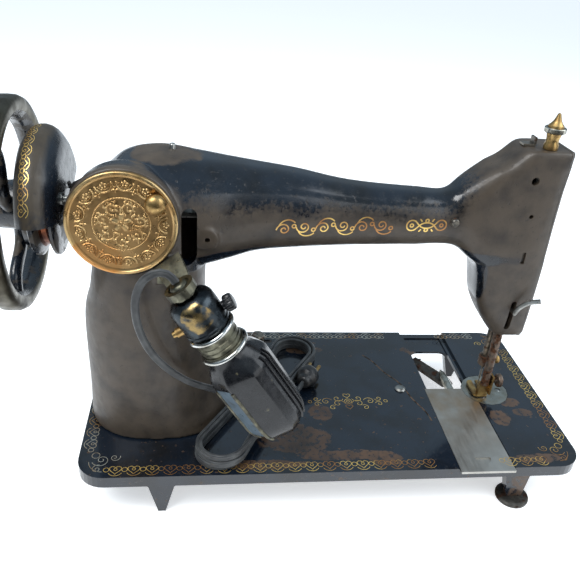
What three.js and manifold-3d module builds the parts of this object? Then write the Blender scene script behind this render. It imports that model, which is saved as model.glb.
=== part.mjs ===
// Antique vibrating-shuttle sewing machine head with a clip-on work lamp.
// Millimetres, +Z up. X runs along the bed towards the hand wheel and Y towards the machine's rear.
// The parts are laid out from the middle of the bed's top face, and the group is shifted at the end so
// that the origin lies under the middle of the machine, on the surface that it stands on.
import * as THREE from 'three';
import { mergeVertices } from 'three/addons/utils/BufferGeometryUtils.js';
import Module from 'manifold-3d';

const wasm = await Module();
wasm.setup();

// ---- Driving dimensions -----------------------------------------------------------------------------

const GAP = 0.3;                      // clearance between pieces that touch
const BED = { length: 368.3, width: 177.8, corner: 19, rim: 9, plate: 5.5, wall: 6 };
const FLOOR = -40;                    // what the lugs stand on, below the bed's top
const SHAFT = 159.5;                  // height of the arm shaft
const SHAFT_RADIUS = 6;
const BAR_X = -132;                   // plane of the needle bar and the presser bar
const NEEDLE_BAR = { y: -1.5, radius: 3.2, bottom: 26, top: 176 };
const PRESSER_BAR = { y: 9, radius: 3.4, bottom: 14, top: 190 };
const FACE = -144.5;                  // where the head is cut flat for the face plate
const HEAD_TOP = 214;
const WALL = 5;                       // thickness of the arm's casting
const CHANNEL = { left: -129, right: -86.6, depth: 2.4 };
const SLIDE = { left: -128.3, right: -86.9, front: -3, rear: 92, thick: 2 };
const CAVITY = { left: -125, right: -90, front: -62, rear: 78 };
const NEEDLE_PLATE = { x: -139, y: -1, radius: 19.5, thick: 2.2 };
const COVER = { x: 148.5, z: 168.5, radius: 33.6, back: 46.4, thick: 3.2 };
const FLANGE_RADIUS = 34.5;
const COVER_SCREW = { x: 127.8, z: 183.5 };
const WHEEL = { inner: 214.7, radius: 70, bore: 55.5, hub: 17 };
const LUGS = { right: 127, left: -139, rear: 79, front: -76 };
const ROCK_SHAFT = { y: 40, z: -26, left: -152, right: 95, radius: 4 };
const SHUTTLE_PIVOT = { x: 20, y: -38 };
const TAKE_UP = { x: -119.4, y: 6, z: 184 };
const LAMP = { x: 113.5, y: 73, z: 139.9, lean: 33 };

// ---- Tools ------------------------------------------------------------------------------------------

const X = new THREE.Vector3(1, 0, 0);
const Y = new THREE.Vector3(0, 1, 0);
const Z = new THREE.Vector3(0, 0, 1);
const PLANES = { xy: [X, Y], xz: [X, Z], yz: [Y, Z] };

function toSolid(geometry) {
  const bare = geometry.clone();
  bare.deleteAttribute('normal');
  bare.deleteAttribute('uv');
  const merged = mergeVertices(bare, 1e-4);
  const corners = [];
  for (let i = 0; i < merged.index.count; i += 3) {
    const [a, b, c] = [0, 1, 2].map((k) => merged.index.getX(i + k));
    if (a !== b && b !== c && c !== a) corners.push(a, b, c);
  }
  const vertProperties = new Float32Array(merged.attributes.position.array);
  return new wasm.Manifold(new wasm.Mesh({ numProp: 3, vertProperties, triVerts: new Uint32Array(corners) }));
}

function toGeometry(solid) {
  const mesh = solid.getMesh();
  const geometry = new THREE.BufferGeometry();
  geometry.setAttribute('position', new THREE.BufferAttribute(mesh.vertProperties, 3));
  geometry.setIndex(new THREE.BufferAttribute(mesh.triVerts, 1));
  geometry.computeVertexNormals();
  return geometry;
}

function join(first, ...others) {
  return others.reduce((sum, other) => sum.add(other), first);
}

function cut(first, ...others) {
  return others.reduce((rest, other) => rest.subtract(other), first);
}

function block(x0, x1, y0, y1, z0, z1) {
  const geometry = new THREE.BoxGeometry(x1 - x0, y1 - y0, z1 - z0);
  return toSolid(geometry.translate((x0 + x1) / 2, (y0 + y1) / 2, (z0 + z1) / 2));
}

// Small rounds get few sides and large ones get many.
function sidesFor(radius) {
  if (radius < 3) return 8;
  if (radius < 9) return 12;
  return radius < 20 ? 16 : 32;
}

function rod(start, end, radius) {
  const from = new THREE.Vector3(...start);
  const along = new THREE.Vector3(...end).sub(from);
  const geometry = new THREE.CylinderGeometry(radius, radius, along.length(), sidesFor(radius));
  geometry.translate(0, along.length() / 2, 0);
  geometry.applyQuaternion(new THREE.Quaternion().setFromUnitVectors(Y, along.normalize()));
  return toSolid(geometry.translate(from.x, from.y, from.z));
}

// A turned piece: profile rows are [distance along the axis, radius], closed on the axis at both ends.
function turned(start, direction, profile) {
  const sides = sidesFor(Math.max(...profile.map(([, radius]) => radius)));
  const outline = profile.map(([along, radius]) => new THREE.Vector2(radius, along));
  outline.unshift(new THREE.Vector2(0, profile[0][0]));
  outline.push(new THREE.Vector2(0, profile.at(-1)[0]));
  const geometry = new THREE.LatheGeometry(outline, sides);
  const axis = new THREE.Vector3(...direction).normalize();
  geometry.applyQuaternion(new THREE.Quaternion().setFromUnitVectors(Y, axis));
  return toSolid(geometry.translate(...start));
}

// A flat piece: an outline in the named plane, thickened from one offset to another along its normal.
function slab(outline, plane, from, to, bend = 4) {
  const [u, v] = PLANES[plane];
  const w = new THREE.Vector3().crossVectors(u, v);
  const start = plane === 'xz' ? -to : from;
  const options = { depth: to - from, bevelEnabled: false, curveSegments: bend };
  const geometry = new THREE.ExtrudeGeometry(outline, options);
  geometry.translate(0, 0, start);
  return toSolid(geometry.applyMatrix4(new THREE.Matrix4().makeBasis(u, v, w)));
}

function polygon(points) {
  return new THREE.Shape(points.map(([u, v]) => new THREE.Vector2(u, v)));
}

function roundedBox(width, height, radius, u = 0, v = 0) {
  const [a, b] = [width / 2, height / 2];
  const shape = new THREE.Shape();
  shape.moveTo(u - a + radius, v - b);
  shape.lineTo(u + a - radius, v - b);
  shape.absarc(u + a - radius, v - b + radius, radius, -Math.PI / 2, 0);
  shape.lineTo(u + a, v + b - radius);
  shape.absarc(u + a - radius, v + b - radius, radius, 0, Math.PI / 2);
  shape.lineTo(u - a + radius, v + b);
  shape.absarc(u - a + radius, v + b - radius, radius, Math.PI / 2, Math.PI);
  shape.lineTo(u - a, v - b + radius);
  shape.absarc(u - a + radius, v - b + radius, radius, Math.PI, Math.PI * 1.5);
  return shape;
}

function disc(u, v, radius) {
  return new THREE.Shape().absarc(u, v, radius, 0, Math.PI * 2);
}

// A bar of round section that follows a smooth curve through the points.
function bent(points, radius, steps, sides = 8, flatten = 1) {
  const curve = new THREE.CatmullRomCurve3(points.map((point) => new THREE.Vector3(...point)));
  const section = new THREE.Shape();
  for (let i = 0; i < sides; i += 1) {
    const angle = ((i + 0.5) * Math.PI * 2) / sides;
    const corner = [Math.cos(angle) * radius * flatten, Math.sin(angle) * radius];
    if (i === 0) section.moveTo(...corner);
    else section.lineTo(...corner);
  }
  return toSolid(new THREE.ExtrudeGeometry(section, { extrudePath: curve, steps, bevelEnabled: false }));
}

// A closed skin over rings of equally many points, with a fan on the first and the last ring.
function skin(rings) {
  const count = rings[0].length;
  const points = rings.flat();
  const triangles = [];
  for (let ring = 0; ring + 1 < rings.length; ring += 1) {
    for (let i = 0; i < count; i += 1) {
      const [a, b] = [ring * count + i, ring * count + ((i + 1) % count)];
      triangles.push(a, b, b + count, a, b + count, a + count);
    }
  }
  for (const [ring, turn] of [[0, 1], [rings.length - 1, 0]]) {
    const total = rings[ring].reduce((sum, point) => sum.add(point), new THREE.Vector3());
    points.push(total.divideScalar(count));
    for (let i = 0; i < count; i += 1) {
      const pair = [ring * count + i, ring * count + ((i + 1) % count)];
      triangles.push(points.length - 1, pair[turn], pair[1 - turn]);
    }
  }
  const geometry = new THREE.BufferGeometry().setFromPoints(points);
  const volume = (order) => order.reduce((sum, _, i) => (i % 3 ? sum
    : sum + points[order[i]].dot(points[order[i + 1]].clone().cross(points[order[i + 2]]))), 0);
  if (volume(triangles) < 0) triangles.reverse();
  geometry.setIndex(triangles);
  return toSolid(geometry);
}

// Points round a rounded rectangle: power 2 is an ellipse, and a higher power is squarer.
function ring(place, centreU, centreV, halfU, halfV, power, count) {
  const points = [];
  for (let i = 0; i < count; i += 1) {
    const angle = ((i + 0.5) * Math.PI * 2) / count;
    const round = (value) => Math.sign(value) * Math.abs(value) ** (2 / power);
    points.push(place(centreU + halfU * round(Math.cos(angle)), centreV + halfV * round(Math.sin(angle))));
  }
  return points;
}

const SLOTS = {};

function paint(name, color, roughness, metalness) {
  SLOTS[name] = { color, roughness, metalness };
}

paint('japan_black', 0x1e2530, 0.25, 0.1);
paint('worn_japan', 0x3a3430, 0.5, 0.2);
paint('brass', 0xb08850, 0.35, 1);
paint('bright_steel', 0x9a9d9c, 0.35, 1);
paint('nickel', 0xb9b8b0, 0.22, 1);
paint('rusty_steel', 0x785a4b, 0.7, 0.6);
paint('dark_iron', 0x35312d, 0.6, 0.6);
paint('lamp_black', 0x17191c, 0.3, 0.1);
paint('pewter', 0x8e8c82, 0.45, 0.9);
paint('cord_rubber', 0x4b4e50, 0.6, 0);
paint('plug_black', 0x1c1c1e, 0.45, 0);
paint('bulb_glass', 0xe8e8e4, 0.15, 0);

const model = new THREE.Group();

function part(name, slot, solid, group = model) {
  const mesh = new THREE.Mesh(toGeometry(solid), new THREE.MeshStandardMaterial(SLOTS[slot]));
  mesh.name = name;
  group.add(mesh);
  return mesh;
}

// ---- Bed --------------------------------------------------------------------------------------------

const [HALF_LENGTH, HALF_WIDTH] = [BED.length / 2, BED.width / 2];

const FOOT_THICK = 4;

function lug(x, y) {
  const web = polygon([[x - 20, -BED.plate + 1], [x - 18, -BED.rim], [x - 9, -16], [x - 2.6, FLOOR],
    [x + 2.6, FLOOR], [x + 9, -16], [x + 18, -BED.rim], [x + 20, -BED.plate + 1]]);
  return slab(web, 'xz', y - 4, y + 4);
}

function neckLug(x, y) {
  const ankle = FLOOR + FOOT_THICK + GAP;
  const web = polygon([[x - 16, -BED.plate + 1], [x - 8, -15], [x - 6, ankle], [x + 6, ankle],
    [x + 11, -15], [x + 20, -BED.plate + 1]]);
  return slab(web, 'xz', y - 4, y + 4);
}

function rockShaftLug(x) {
  const post = slab(roundedBox(14, 30, 6, ROCK_SHAFT.y, -18.5), 'yz', x - 4, x + 4);
  return cut(post, rod([x - 5, ROCK_SHAFT.y, ROCK_SHAFT.z], [x + 5, ROCK_SHAFT.y, ROCK_SHAFT.z], 2.6));
}

function makeBed() {
  const outer = slab(roundedBox(BED.length, BED.width, BED.corner), 'xy', -BED.rim, 0);
  const pocket = slab(roundedBox(BED.length - 2 * BED.wall, BED.width - 2 * BED.wall, BED.corner - BED.wall),
    'xy', -BED.rim - 1, -BED.plate);
  const channel = block(CHANNEL.left, CHANNEL.right, -HALF_WIDTH - 1, HALF_WIDTH + 1, -CHANNEL.depth, 1);
  const recess = block(CAVITY.left, CAVITY.right, -HALF_WIDTH + BED.wall, HALF_WIDTH - BED.wall, -3.6, 1);
  const cavity = slab(roundedBox(CAVITY.right - CAVITY.left, CAVITY.rear - CAVITY.front, 8,
    (CAVITY.left + CAVITY.right) / 2, (CAVITY.rear + CAVITY.front) / 2), 'xy', -BED.rim - 1, 1);
  const plateSeat = rod([NEEDLE_PLATE.x, NEEDLE_PLATE.y, -CHANNEL.depth], [NEEDLE_PLATE.x, NEEDLE_PLATE.y, 1],
    NEEDLE_PLATE.radius + GAP);
  const feedWell = slab(roundedBox(22, 26, 4, -134, 0), 'xy', -BED.rim - 1, 1);
  const pillarWell = slab(roundedBox(66, 70, 16, 134, 0), 'xy', -BED.rim - 1, 1);
  const regulatorSlot = slab(roundedBox(26, 5, 2.4, 50, -74), 'xy', -BED.rim - 1, 1);
  const oilHole = rod([-65.5, -3, -10], [-65.5, -3, 1], 2.6);
  const body = cut(outer, pocket, channel, recess, cavity, plateSeat, feedWell, pillarWell, regulatorSlot,
    oilHole);
  return join(body, lug(LUGS.right, LUGS.rear), neckLug(LUGS.left, LUGS.rear), lug(LUGS.right, LUGS.front),
    lug(LUGS.left, LUGS.front), rockShaftLug(ROCK_SHAFT.left), rockShaftLug(ROCK_SHAFT.right));
}

part('bed', 'japan_black', makeBed());
part('bed_rear_foot', 'dark_iron', turned([LUGS.left, LUGS.rear + 1, FLOOR], [0, 0, 1],
  [[0, 11.5], [1, 12.5], [2.8, 12.5], [FOOT_THICK, 10]]));
part('bed_dome_screw', 'bright_steel', turned([-65.5, -3, -7], [0, 0, 1],
  [[0, 2.2], [7.2, 2.2], [7.3, 4.6], [8.2, 4.4], [9.4, 2.6], [9.7, 1]]));

// ---- Pillar, arm and head, one hollow casting -------------------------------------------------------

const PILLAR = [ // height, side towards the needle, side towards the hand wheel, half depth
  [GAP, 78, 183.6, 53], [8, 83, 183, 52], [30, 91, 182.5, 50], [84, 97, 182.5, 48.5], [107, 98, 177.5, 48],
  [145, 97, 172, 46], [165, 96, 171, 43], [183, 101, 163, 35], [197, 113, 149, 20],
];
const ARM = [ // distance along the bed, underside, top, half depth
  [-112, 139, 179, 15], [-48, 139, 180, 18.2], [0, 137.5, 183.3, 20], [36, 135.5, 190, 23.5],
  [63, 133, 193.7, 27], [83, 127, 196.4, 31], [105, 122, 199.4, 37], [128, 122, 202, 40],
  [150, 130, 197.7, 38], [165, 137, 186, 30], [184, 143.5, 175.6, 16],
];
const HEAD = [ // height, side towards the pillar, half depth
  [66, -125, 14], [71, -121, 17], [83, -112.5, 18.8], [98, -105, 19.6], [118, -100.5, 20], [128, -96, 20],
  [137, -84, 20], [160, -72, 19.6], [181, -73, 19], [195, -89, 18.5], [203, -103, 18.5], [212, -113, 18],
  [HEAD_TOP, -117, 16.5],
];
const HEAD_BACK = -152; // the head's rings run past the flat cut for the face plate

function pillarSkin(inset, count) {
  return skin(PILLAR.map(([z, inner, outer, depth], i) => {
    const height = i === 0 ? z - inset : z - (i + 1 === PILLAR.length ? inset : 0);
    const place = (u, v) => new THREE.Vector3(u, v, height);
    return ring(place, (inner + outer) / 2, 0, (outer - inner) / 2 - inset, depth - inset, 2.5, count);
  }));
}

function armSkin(inset, count, first = 0, last = ARM.length) {
  return skin(ARM.slice(first, last).map(([x, low, high, depth]) => {
    const place = (u, v) => new THREE.Vector3(x, u, v);
    return ring(place, 0, (low + high) / 2, depth - inset, (high - low) / 2 - inset, 2.3, count);
  }));
}

function headSkin(inset, count) {
  return skin(HEAD.map(([z, inner, depth], i) => {
    const end = (i === 0 ? 1 : 0) - (i + 1 === HEAD.length ? 1 : 0);
    const side = inner - inset;
    const place = (u, v) => new THREE.Vector3(u, v, z + end * inset);
    return ring(place, (side + HEAD_BACK) / 2, 0, (side - HEAD_BACK) / 2, depth - inset, 4, count);
  }));
}

function atCover(radius, from, to) {
  return rod([COVER.x, from, COVER.z], [COVER.x, to, COVER.z], radius);
}

function makeCasting() {
  const drum = atCover(FLANGE_RADIUS, 6, COVER.back - GAP);
  const boss = rod([160, 0, SHAFT], [186, 0, SHAFT], 16);
  const lampBoss = block(112, 130, 40, 48.6, 128, 146);
  const outer = join(pillarSkin(0, 28), armSkin(0, 20), headSkin(0, 20), drum, boss, lampBoss);
  const faceCut = block(HEAD_BACK - 10, FACE, -40, 40, 40, 240);
  const shaftHole = rod([80, 0, SHAFT], [200, 0, SHAFT], SHAFT_RADIUS + GAP);
  const coverSeat = atCover(FLANGE_RADIUS + 1, COVER.back - GAP, 60);
  const coverHole = atCover(28, 10, 60);
  const coverScrewHole = rod([COVER_SCREW.x, 20, COVER_SCREW.z], [COVER_SCREW.x, 60, COVER_SCREW.z], 2.4);
  const rearSlot = slab(roundedBox(10, 39, 4, 108.5, 155.5), 'xz', 20, 60);
  const lugHole = rod([97, 30, 153.5], [97, 60, 153.5], 1.6);
  const barHoles = [NEEDLE_BAR, PRESSER_BAR].map((bar) =>
    rod([BAR_X, bar.y, 60], [BAR_X, bar.y, 80], bar.radius + GAP));
  const lifterSlot = slab(roundedBox(4, 26, 1.9, BAR_X, 87), 'xz', 10, 30);
  const takeUpSlot = slab(roundedBox(4.6, 32, 2.2, TAKE_UP.x, 184), 'xz', -30, -8);
  const armScrewHole = rod([-73, 10, 162], [-73, 30, 162], 3.3);
  const tensionHole = rod([-127, -30, 112], [-127, -10, 112], 2.6);
  const rearHoles = [[-123, 194, 3], [-126.5, 168.5, 1.7]].map(([x, z, radius]) =>
    rod([x, 10, z], [x, 30, z], radius));
  const pressHole = rod([BAR_X, PRESSER_BAR.y, 200], [BAR_X, PRESSER_BAR.y, 230], 4.3);
  const spoolHole = rod([120, 0, 190], [120, 0, 210], 2.3);
  const postEnd = [COVER_SCREW.x, COVER.back - GAP, COVER_SCREW.z];
  const screwPost = cut(rod([COVER_SCREW.x, 24, COVER_SCREW.z], postEnd, 6), coverScrewHole);
  const hollow = [pillarSkin(WALL + 1, 16), armSkin(WALL, 12, 0, 9), headSkin(WALL, 16)];
  const shell = cut(outer, ...hollow, faceCut, shaftHole, coverSeat, coverHole, coverScrewHole, rearSlot,
    lugHole, ...barHoles, lifterSlot, ...rearHoles, pressHole, spoolHole, takeUpSlot, armScrewHole,
    tensionHole);
  return join(shell, screwPost);
}

part('arm_casting', 'japan_black', makeCasting());

function makeFacePlate() {
  const plate = headSkin(0, 20).intersect(block(FACE - 2.7, FACE - GAP, -40, 40, 60, 220));
  return cut(plate, rod([FACE - 5, 0, 203], [FACE + 1, 0, 203], 1.9));
}

// A slotted screw: the head stands on the start point and the shank runs back into the hole.
function screw(start, outward, headRadius, headHeight, shankRadius, shankLength) {
  return turned(start, outward, [[-shankLength, shankRadius], [0, shankRadius], [0.01, headRadius],
    [headHeight * 0.7, headRadius], [headHeight, headRadius * 0.75]]);
}

part('face_plate', 'worn_japan', makeFacePlate());
part('face_plate_screw', 'bright_steel', screw([FACE - 3, 0, 203], [-1, 0, 0], 3.6, 1.8, 1.6, 6));
part('arm_rear_screw', 'bright_steel', turned([-73, 13.5, 162], [0, 1, 0], [[0, 2.9], [5, 2.9], [5.6, 2.2]]));
part('spool_pin', 'bright_steel', turned([120, 0, 193], [0, 0, 1], [[0, 2], [11, 2], [12, 1.2]]));

// ---- Rear cover and belt guard ----------------------------------------------------------------------

function makeCover() {
  const { radius, thick } = COVER;
  const dish = turned([COVER.x, COVER.back, COVER.z], [0, 1, 0], [[0, radius], [thick - 0.6, radius],
    [thick, radius - 1], [thick, radius - 2.6], [thick - 1.3, radius - 3.6]]);
  return cut(dish, rod([COVER_SCREW.x, 40, COVER_SCREW.z], [COVER_SCREW.x, 55, COVER_SCREW.z], 2.4));
}

part('rear_cover', 'brass', makeCover());
part('rear_cover_thumb_screw', 'brass', turned([COVER_SCREW.x, 27, COVER_SCREW.z], [0, 1, 0],
  [[0, 2], [23.2, 2], [23.25, 6.2], [26, 6.5], [28, 5.4], [29.4, 3.2], [29.9, 1]]));

const GUARD = { inner: 183.5, from: 6, to: 158, wall: 3 };

function makeBeltGuard() {
  const barrel = [[0, 35], [2.5, 44], [7, 49.5], [13, 52.5], [20, 52.5], [25.5, 50], [27.5, 47]];
  const mouth = barrel.at(-1)[0];
  const hollow = barrel.slice(1).map(([along, radius]) =>
    [along + (along === mouth ? 1 : 0.4), radius - GUARD.wall]);
  const start = [GUARD.inner, 0, SHAFT];
  const shell = cut(turned(start, [1, 0, 0], barrel), turned(start, [1, 0, 0], hollow),
    rod([180, 0, SHAFT], [215, 0, SHAFT], 16 + GAP));
  const wedge = new THREE.Shape().moveTo(0, SHAFT);
  wedge.absarc(0, SHAFT, 90, THREE.MathUtils.degToRad(GUARD.from), THREE.MathUtils.degToRad(GUARD.to));
  const screwHole = rod([180, 22, SHAFT + 14], [190, 22, SHAFT + 14], 2.4);
  return cut(shell.intersect(slab(wedge, 'yz', 180, 215)), screwHole);
}

part('belt_guard', 'worn_japan', makeBeltGuard());
part('belt_guard_screw', 'bright_steel',
  screw([GUARD.inner + 2.9 + GAP, 22, SHAFT + 14], [1, 0, 0], 4, 2.2, 2, 2.6));

// ---- Hand wheel and arm shaft -----------------------------------------------------------------------

function atShaft(x, profile) {
  return turned([x, 0, SHAFT], [1, 0, 0], profile);
}

function wheelSpoke(turn) {
  const path = [[0, WHEEL.hub - 3], [0.12, 26], [0.5, 38], [0.62, 48], [0.55, WHEEL.bore + 4]];
  const points = path.map(([swing, radius]) => {
    const angle = turn + swing;
    return [222, radius * Math.cos(angle), SHAFT + radius * Math.sin(angle)];
  });
  return bent(points, 5.2, 6, 6, 0.75);
}

function makeHandWheel() {
  const rim = atShaft(WHEEL.inner, [[0, 62], [0.6, 67.4], [4, WHEEL.radius], [12, WHEEL.radius],
    [15.6, 67.4], [16.3, 60]]);
  const bore = atShaft(WHEEL.inner - 1, [[0, 62], [1, 62], [5, 56.3], [9.2, WHEEL.bore], [17.3, 60],
    [18.4, 60]]);
  const hub = atShaft(190, [[0, 13], [3, 14], [3.4, 32], [6, 32.5], [8, 27], [13.2, 27], [15, 33], [18.4, 33],
    [19.4, 29], [23, 28], [25, WHEEL.hub], [42, 15.5], [45, 13.5]]);
  const spokes = [0.4, 2.5, 4.6].map((turn) => wheelSpoke(turn));
  const shaftHole = atShaft(180, [[0, SHAFT_RADIUS + GAP], [70, SHAFT_RADIUS + GAP]]);
  return cut(join(cut(rim, bore), ...spokes, hub), shaftHole);
}

part('hand_wheel', 'japan_black', makeHandWheel());
part('stop_motion_screw', 'nickel', atShaft(235 + GAP, [[0, 12], [1, 13.5], [8, 13.5], [10, 12], [11.5, 7]]));

const STRAP = { x: 140, drop: 8, disc: 18, inner: 18.4, outer: 23 };

part('arm_shaft', 'bright_steel', join(atShaft(-111, [[0, SHAFT_RADIUS], [344, SHAFT_RADIUS]]),
  rod([STRAP.x - 4, 0, SHAFT - STRAP.drop], [STRAP.x + 4, 0, SHAFT - STRAP.drop], STRAP.disc)));
part('needle_bar_cam', 'dark_iron', atShaft(-121, [[0, 9.5], [1, 10.2], [8, 10.2], [9.6, 8]]));

function makeConnectingRod() {
  const centre = SHAFT - STRAP.drop;
  const strap = rod([STRAP.x - 3, 0, centre], [STRAP.x + 3, 0, centre], STRAP.outer);
  const shank = block(STRAP.x - 3, STRAP.x + 3, -4, 4, -22, centre - STRAP.inner - 1);
  const eye = rod([STRAP.x - 4, 0, -16], [STRAP.x + 4, 0, -16], 7);
  return cut(join(strap, shank, eye), rod([STRAP.x - 5, 0, centre], [STRAP.x + 5, 0, centre], STRAP.inner),
    rod([STRAP.x - 5, 0, -16], [STRAP.x + 5, 0, -16], 3));
}

part('connecting_rod', 'dark_iron', makeConnectingRod());

// ---- Needle bar, take-up, presser bar ---------------------------------------------------------------

function ringOn(bar, z0, z1, outer) {
  return cut(rod([BAR_X, bar.y, z0], [BAR_X, bar.y, z1], outer),
    rod([BAR_X, bar.y, z0 - 1], [BAR_X, bar.y, z1 + 1], bar.radius + GAP));
}

function upright({ y, radius }, z0, z1, grow = 0) {
  return rod([BAR_X, y, z0], [BAR_X, y, z1], radius + grow);
}

part('needle_bar', 'bright_steel', join(upright(NEEDLE_BAR, NEEDLE_BAR.bottom, NEEDLE_BAR.top),
  upright(NEEDLE_BAR, 146, 154, 1.5), rod([BAR_X, NEEDLE_BAR.y, 150], [-122, NEEDLE_BAR.y, 150], 2.2)));
part('needle', 'bright_steel', turned([BAR_X, NEEDLE_BAR.y, -9], [0, 0, 1],
  [[0, 0.15], [5, 0.5], [22, 0.55], [23, 1], [NEEDLE_BAR.bottom + 9 - GAP, 1]]));
part('needle_clamp', 'rusty_steel', ringOn(NEEDLE_BAR, 28, 36, 5));
part('needle_clamp_screw', 'brass', turned([BAR_X - 5.2 - GAP, NEEDLE_BAR.y, 32], [-1, 0, 0],
  [[0, 1.8], [3, 1.8], [3.2, 3.6], [6, 3.6], [6.6, 2.8]]));

function makeTakeUpLever() {
  const arm = polygon([[TAKE_UP.y + 3, TAKE_UP.z + 3.4], [TAKE_UP.y + 3, TAKE_UP.z - 3.4], [-22, 173.4],
    [-35, 170], [-35, 174], [-22, 178]]);
  const eye = rod([TAKE_UP.x - 1.2, -36, 171.5], [TAKE_UP.x + 1.2, -36, 171.5], 4);
  const body = join(slab(arm, 'yz', TAKE_UP.x - 1.2, TAKE_UP.x + 1.2), eye);
  return cut(body, rod([TAKE_UP.x - 3, -36, 171.5], [TAKE_UP.x + 3, -36, 171.5], 1.6),
    rod([TAKE_UP.x - 3, TAKE_UP.y, TAKE_UP.z], [TAKE_UP.x + 3, TAKE_UP.y, TAKE_UP.z], 1.9));
}

part('take_up_lever', 'bright_steel', makeTakeUpLever());
part('take_up_pivot', 'bright_steel',
  rod([TAKE_UP.x - 2.5, TAKE_UP.y, TAKE_UP.z], [-92, TAKE_UP.y, TAKE_UP.z], 1.6));

part('presser_bar', 'rusty_steel', join(upright(PRESSER_BAR, PRESSER_BAR.bottom, PRESSER_BAR.top),
  upright(PRESSER_BAR, 142, 150, 1.8)));

function makePresserSpring() {
  const [turns, coil, low, high] = [5, 4.1, 151.2, 198.4];
  const points = [];
  for (let i = 0; i <= turns * 8; i += 1) {
    const angle = (i * Math.PI) / 4;
    const height = low + ((high - low) * i) / (turns * 8);
    points.push([BAR_X + coil * Math.cos(angle), PRESSER_BAR.y + coil * Math.sin(angle), height]);
  }
  return bent(points, 0.5, turns * 8, 4);
}

part('presser_spring', 'bright_steel', makePresserSpring());
part('pressure_screw', 'brass', turned([BAR_X, PRESSER_BAR.y, 199.4], [0, 0, 1],
  [[0, 3.9], [15, 3.9], [15.1, 4.9], [25, 4.9], [25.3, 5.4], [31, 3.6], [38, 1.4], [39, 0.7]]));
part('pressure_screw_collar', 'nickel', cut(
  rod([BAR_X, PRESSER_BAR.y, 225.5], [BAR_X, PRESSER_BAR.y, 229], 7.2),
  rod([BAR_X, PRESSER_BAR.y, 220], [BAR_X, PRESSER_BAR.y, 232], 5.5)));
part('top_thread_guide', 'bright_steel', join(block(-124, -115, -3, 4, HEAD_TOP + GAP, HEAD_TOP + 1.5),
  block(-124, -122.6, -3, 4, HEAD_TOP + GAP, HEAD_TOP + 6)));

function makePresserFoot() {
  const sole = slab(roundedBox(13, 20, 3, BAR_X, -1), 'xy', 1.1, 3);
  const needleGap = slab(roundedBox(3.4, 14, 1.6, BAR_X, -5), 'xy', 0, 4);
  const shank = block(BAR_X - 3.6, BAR_X + 3.6, 5, 9, 2, PRESSER_BAR.bottom - GAP);
  const hook = block(BAR_X - 5.4, BAR_X - 3.8, 5, 13, 6, 24);
  return join(cut(sole, needleGap), shank, hook, block(BAR_X - 5, BAR_X - 3, 5, 9, 6, 12));
}

part('presser_foot', 'brass', makePresserFoot());
part('presser_foot_thumb_screw', 'rusty_steel', turned([BAR_X - 5.4 - GAP, PRESSER_BAR.y, 18], [-1, 0, 0],
  [[0, 2], [4, 2], [4.2, 5.6], [7.4, 5.6], [8, 4.4]]));

const LIFTER = { y: 21.2, z: 92 };

function makePresserLifter() {
  const handle = bent([[BAR_X, LIFTER.y + 1.6, LIFTER.z], [BAR_X - 3, LIFTER.y + 2.6, LIFTER.z + 6],
    [BAR_X - 8, LIFTER.y + 4.6, LIFTER.z + 11], [BAR_X - 15, LIFTER.y + 7, LIFTER.z + 13.4]], 2, 10);
  return join(handle, rod([BAR_X, 15.4, LIFTER.z], [BAR_X, LIFTER.y + 3, LIFTER.z], 1.6));
}

part('presser_lifter', 'bright_steel', makePresserLifter());

// ---- Upper thread tension, on the operator's side of the head ---------------------------------------

const TENSION = { x: -127, y: -20.4, z: 112 };

function tensionRing(from, to, radius, rim) {
  return cut(turned([TENSION.x, TENSION.y - from, TENSION.z], [0, -1, 0], [[0, radius], [to - from, rim]]),
    rod([TENSION.x, 0, TENSION.z], [TENSION.x, -60, TENSION.z], 2.2));
}

part('tension_stud', 'bright_steel',
  rod([TENSION.x, -14, TENSION.z], [TENSION.x, TENSION.y - 19, TENSION.z], 1.9));
part('tension_disc_inner', 'nickel', tensionRing(0.6, 2, 7, 9));
part('tension_disc_outer', 'nickel', tensionRing(2.5, 3.9, 9, 7));
part('tension_spring', 'bright_steel', tensionRing(4.3, 11.5, 6.4, 3.6));
part('tension_nut', 'nickel', tensionRing(12, 17, 5.6, 5));

// ---- Needle plate, slide plate and what moves below them --------------------------------------------

function makeNeedlePlate() {
  const { x, y, radius, thick } = NEEDLE_PLATE;
  const plate = rod([x, y, -thick], [x, y, 0], radius);
  const slots = [-3.6, 3.6].map((side) => slab(roundedBox(2.6, 19, 1.2, BAR_X + side, 0), 'xy', -5, 2));
  return cut(plate, ...slots, rod([BAR_X, NEEDLE_BAR.y, -5], [BAR_X, NEEDLE_BAR.y, 2], 1.4),
    rod([x - 12, y, -5], [x - 12, y, 2], 2.4));
}

function makeSlidePlate() {
  const { left, right, front, rear, thick } = SLIDE;
  const { x, y, radius } = NEEDLE_PLATE;
  const notch = rod([x, y, -5], [x, y, 2], radius + GAP);
  const moon = new THREE.Shape().absarc((left + right) / 2, rear - 14, 6, 0, Math.PI);
  return cut(block(left, right, front, rear, -thick, 0), notch, slab(moon, 'xy', -1.1, 2, 8));
}

part('needle_plate', 'bright_steel', makeNeedlePlate());
part('needle_plate_screw', 'bright_steel', rod([NEEDLE_PLATE.x - 12, NEEDLE_PLATE.y, -NEEDLE_PLATE.thick],
  [NEEDLE_PLATE.x - 12, NEEDLE_PLATE.y, -0.2], 2));
part('slide_plate_rear', 'bright_steel', makeSlidePlate());

// The needle passes through the moving feed parts in a slot as long as their travel.
function needleSlot() {
  return slab(roundedBox(2.6, 7, 1.2, BAR_X, NEEDLE_BAR.y), 'xy', -20, 0);
}

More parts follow.
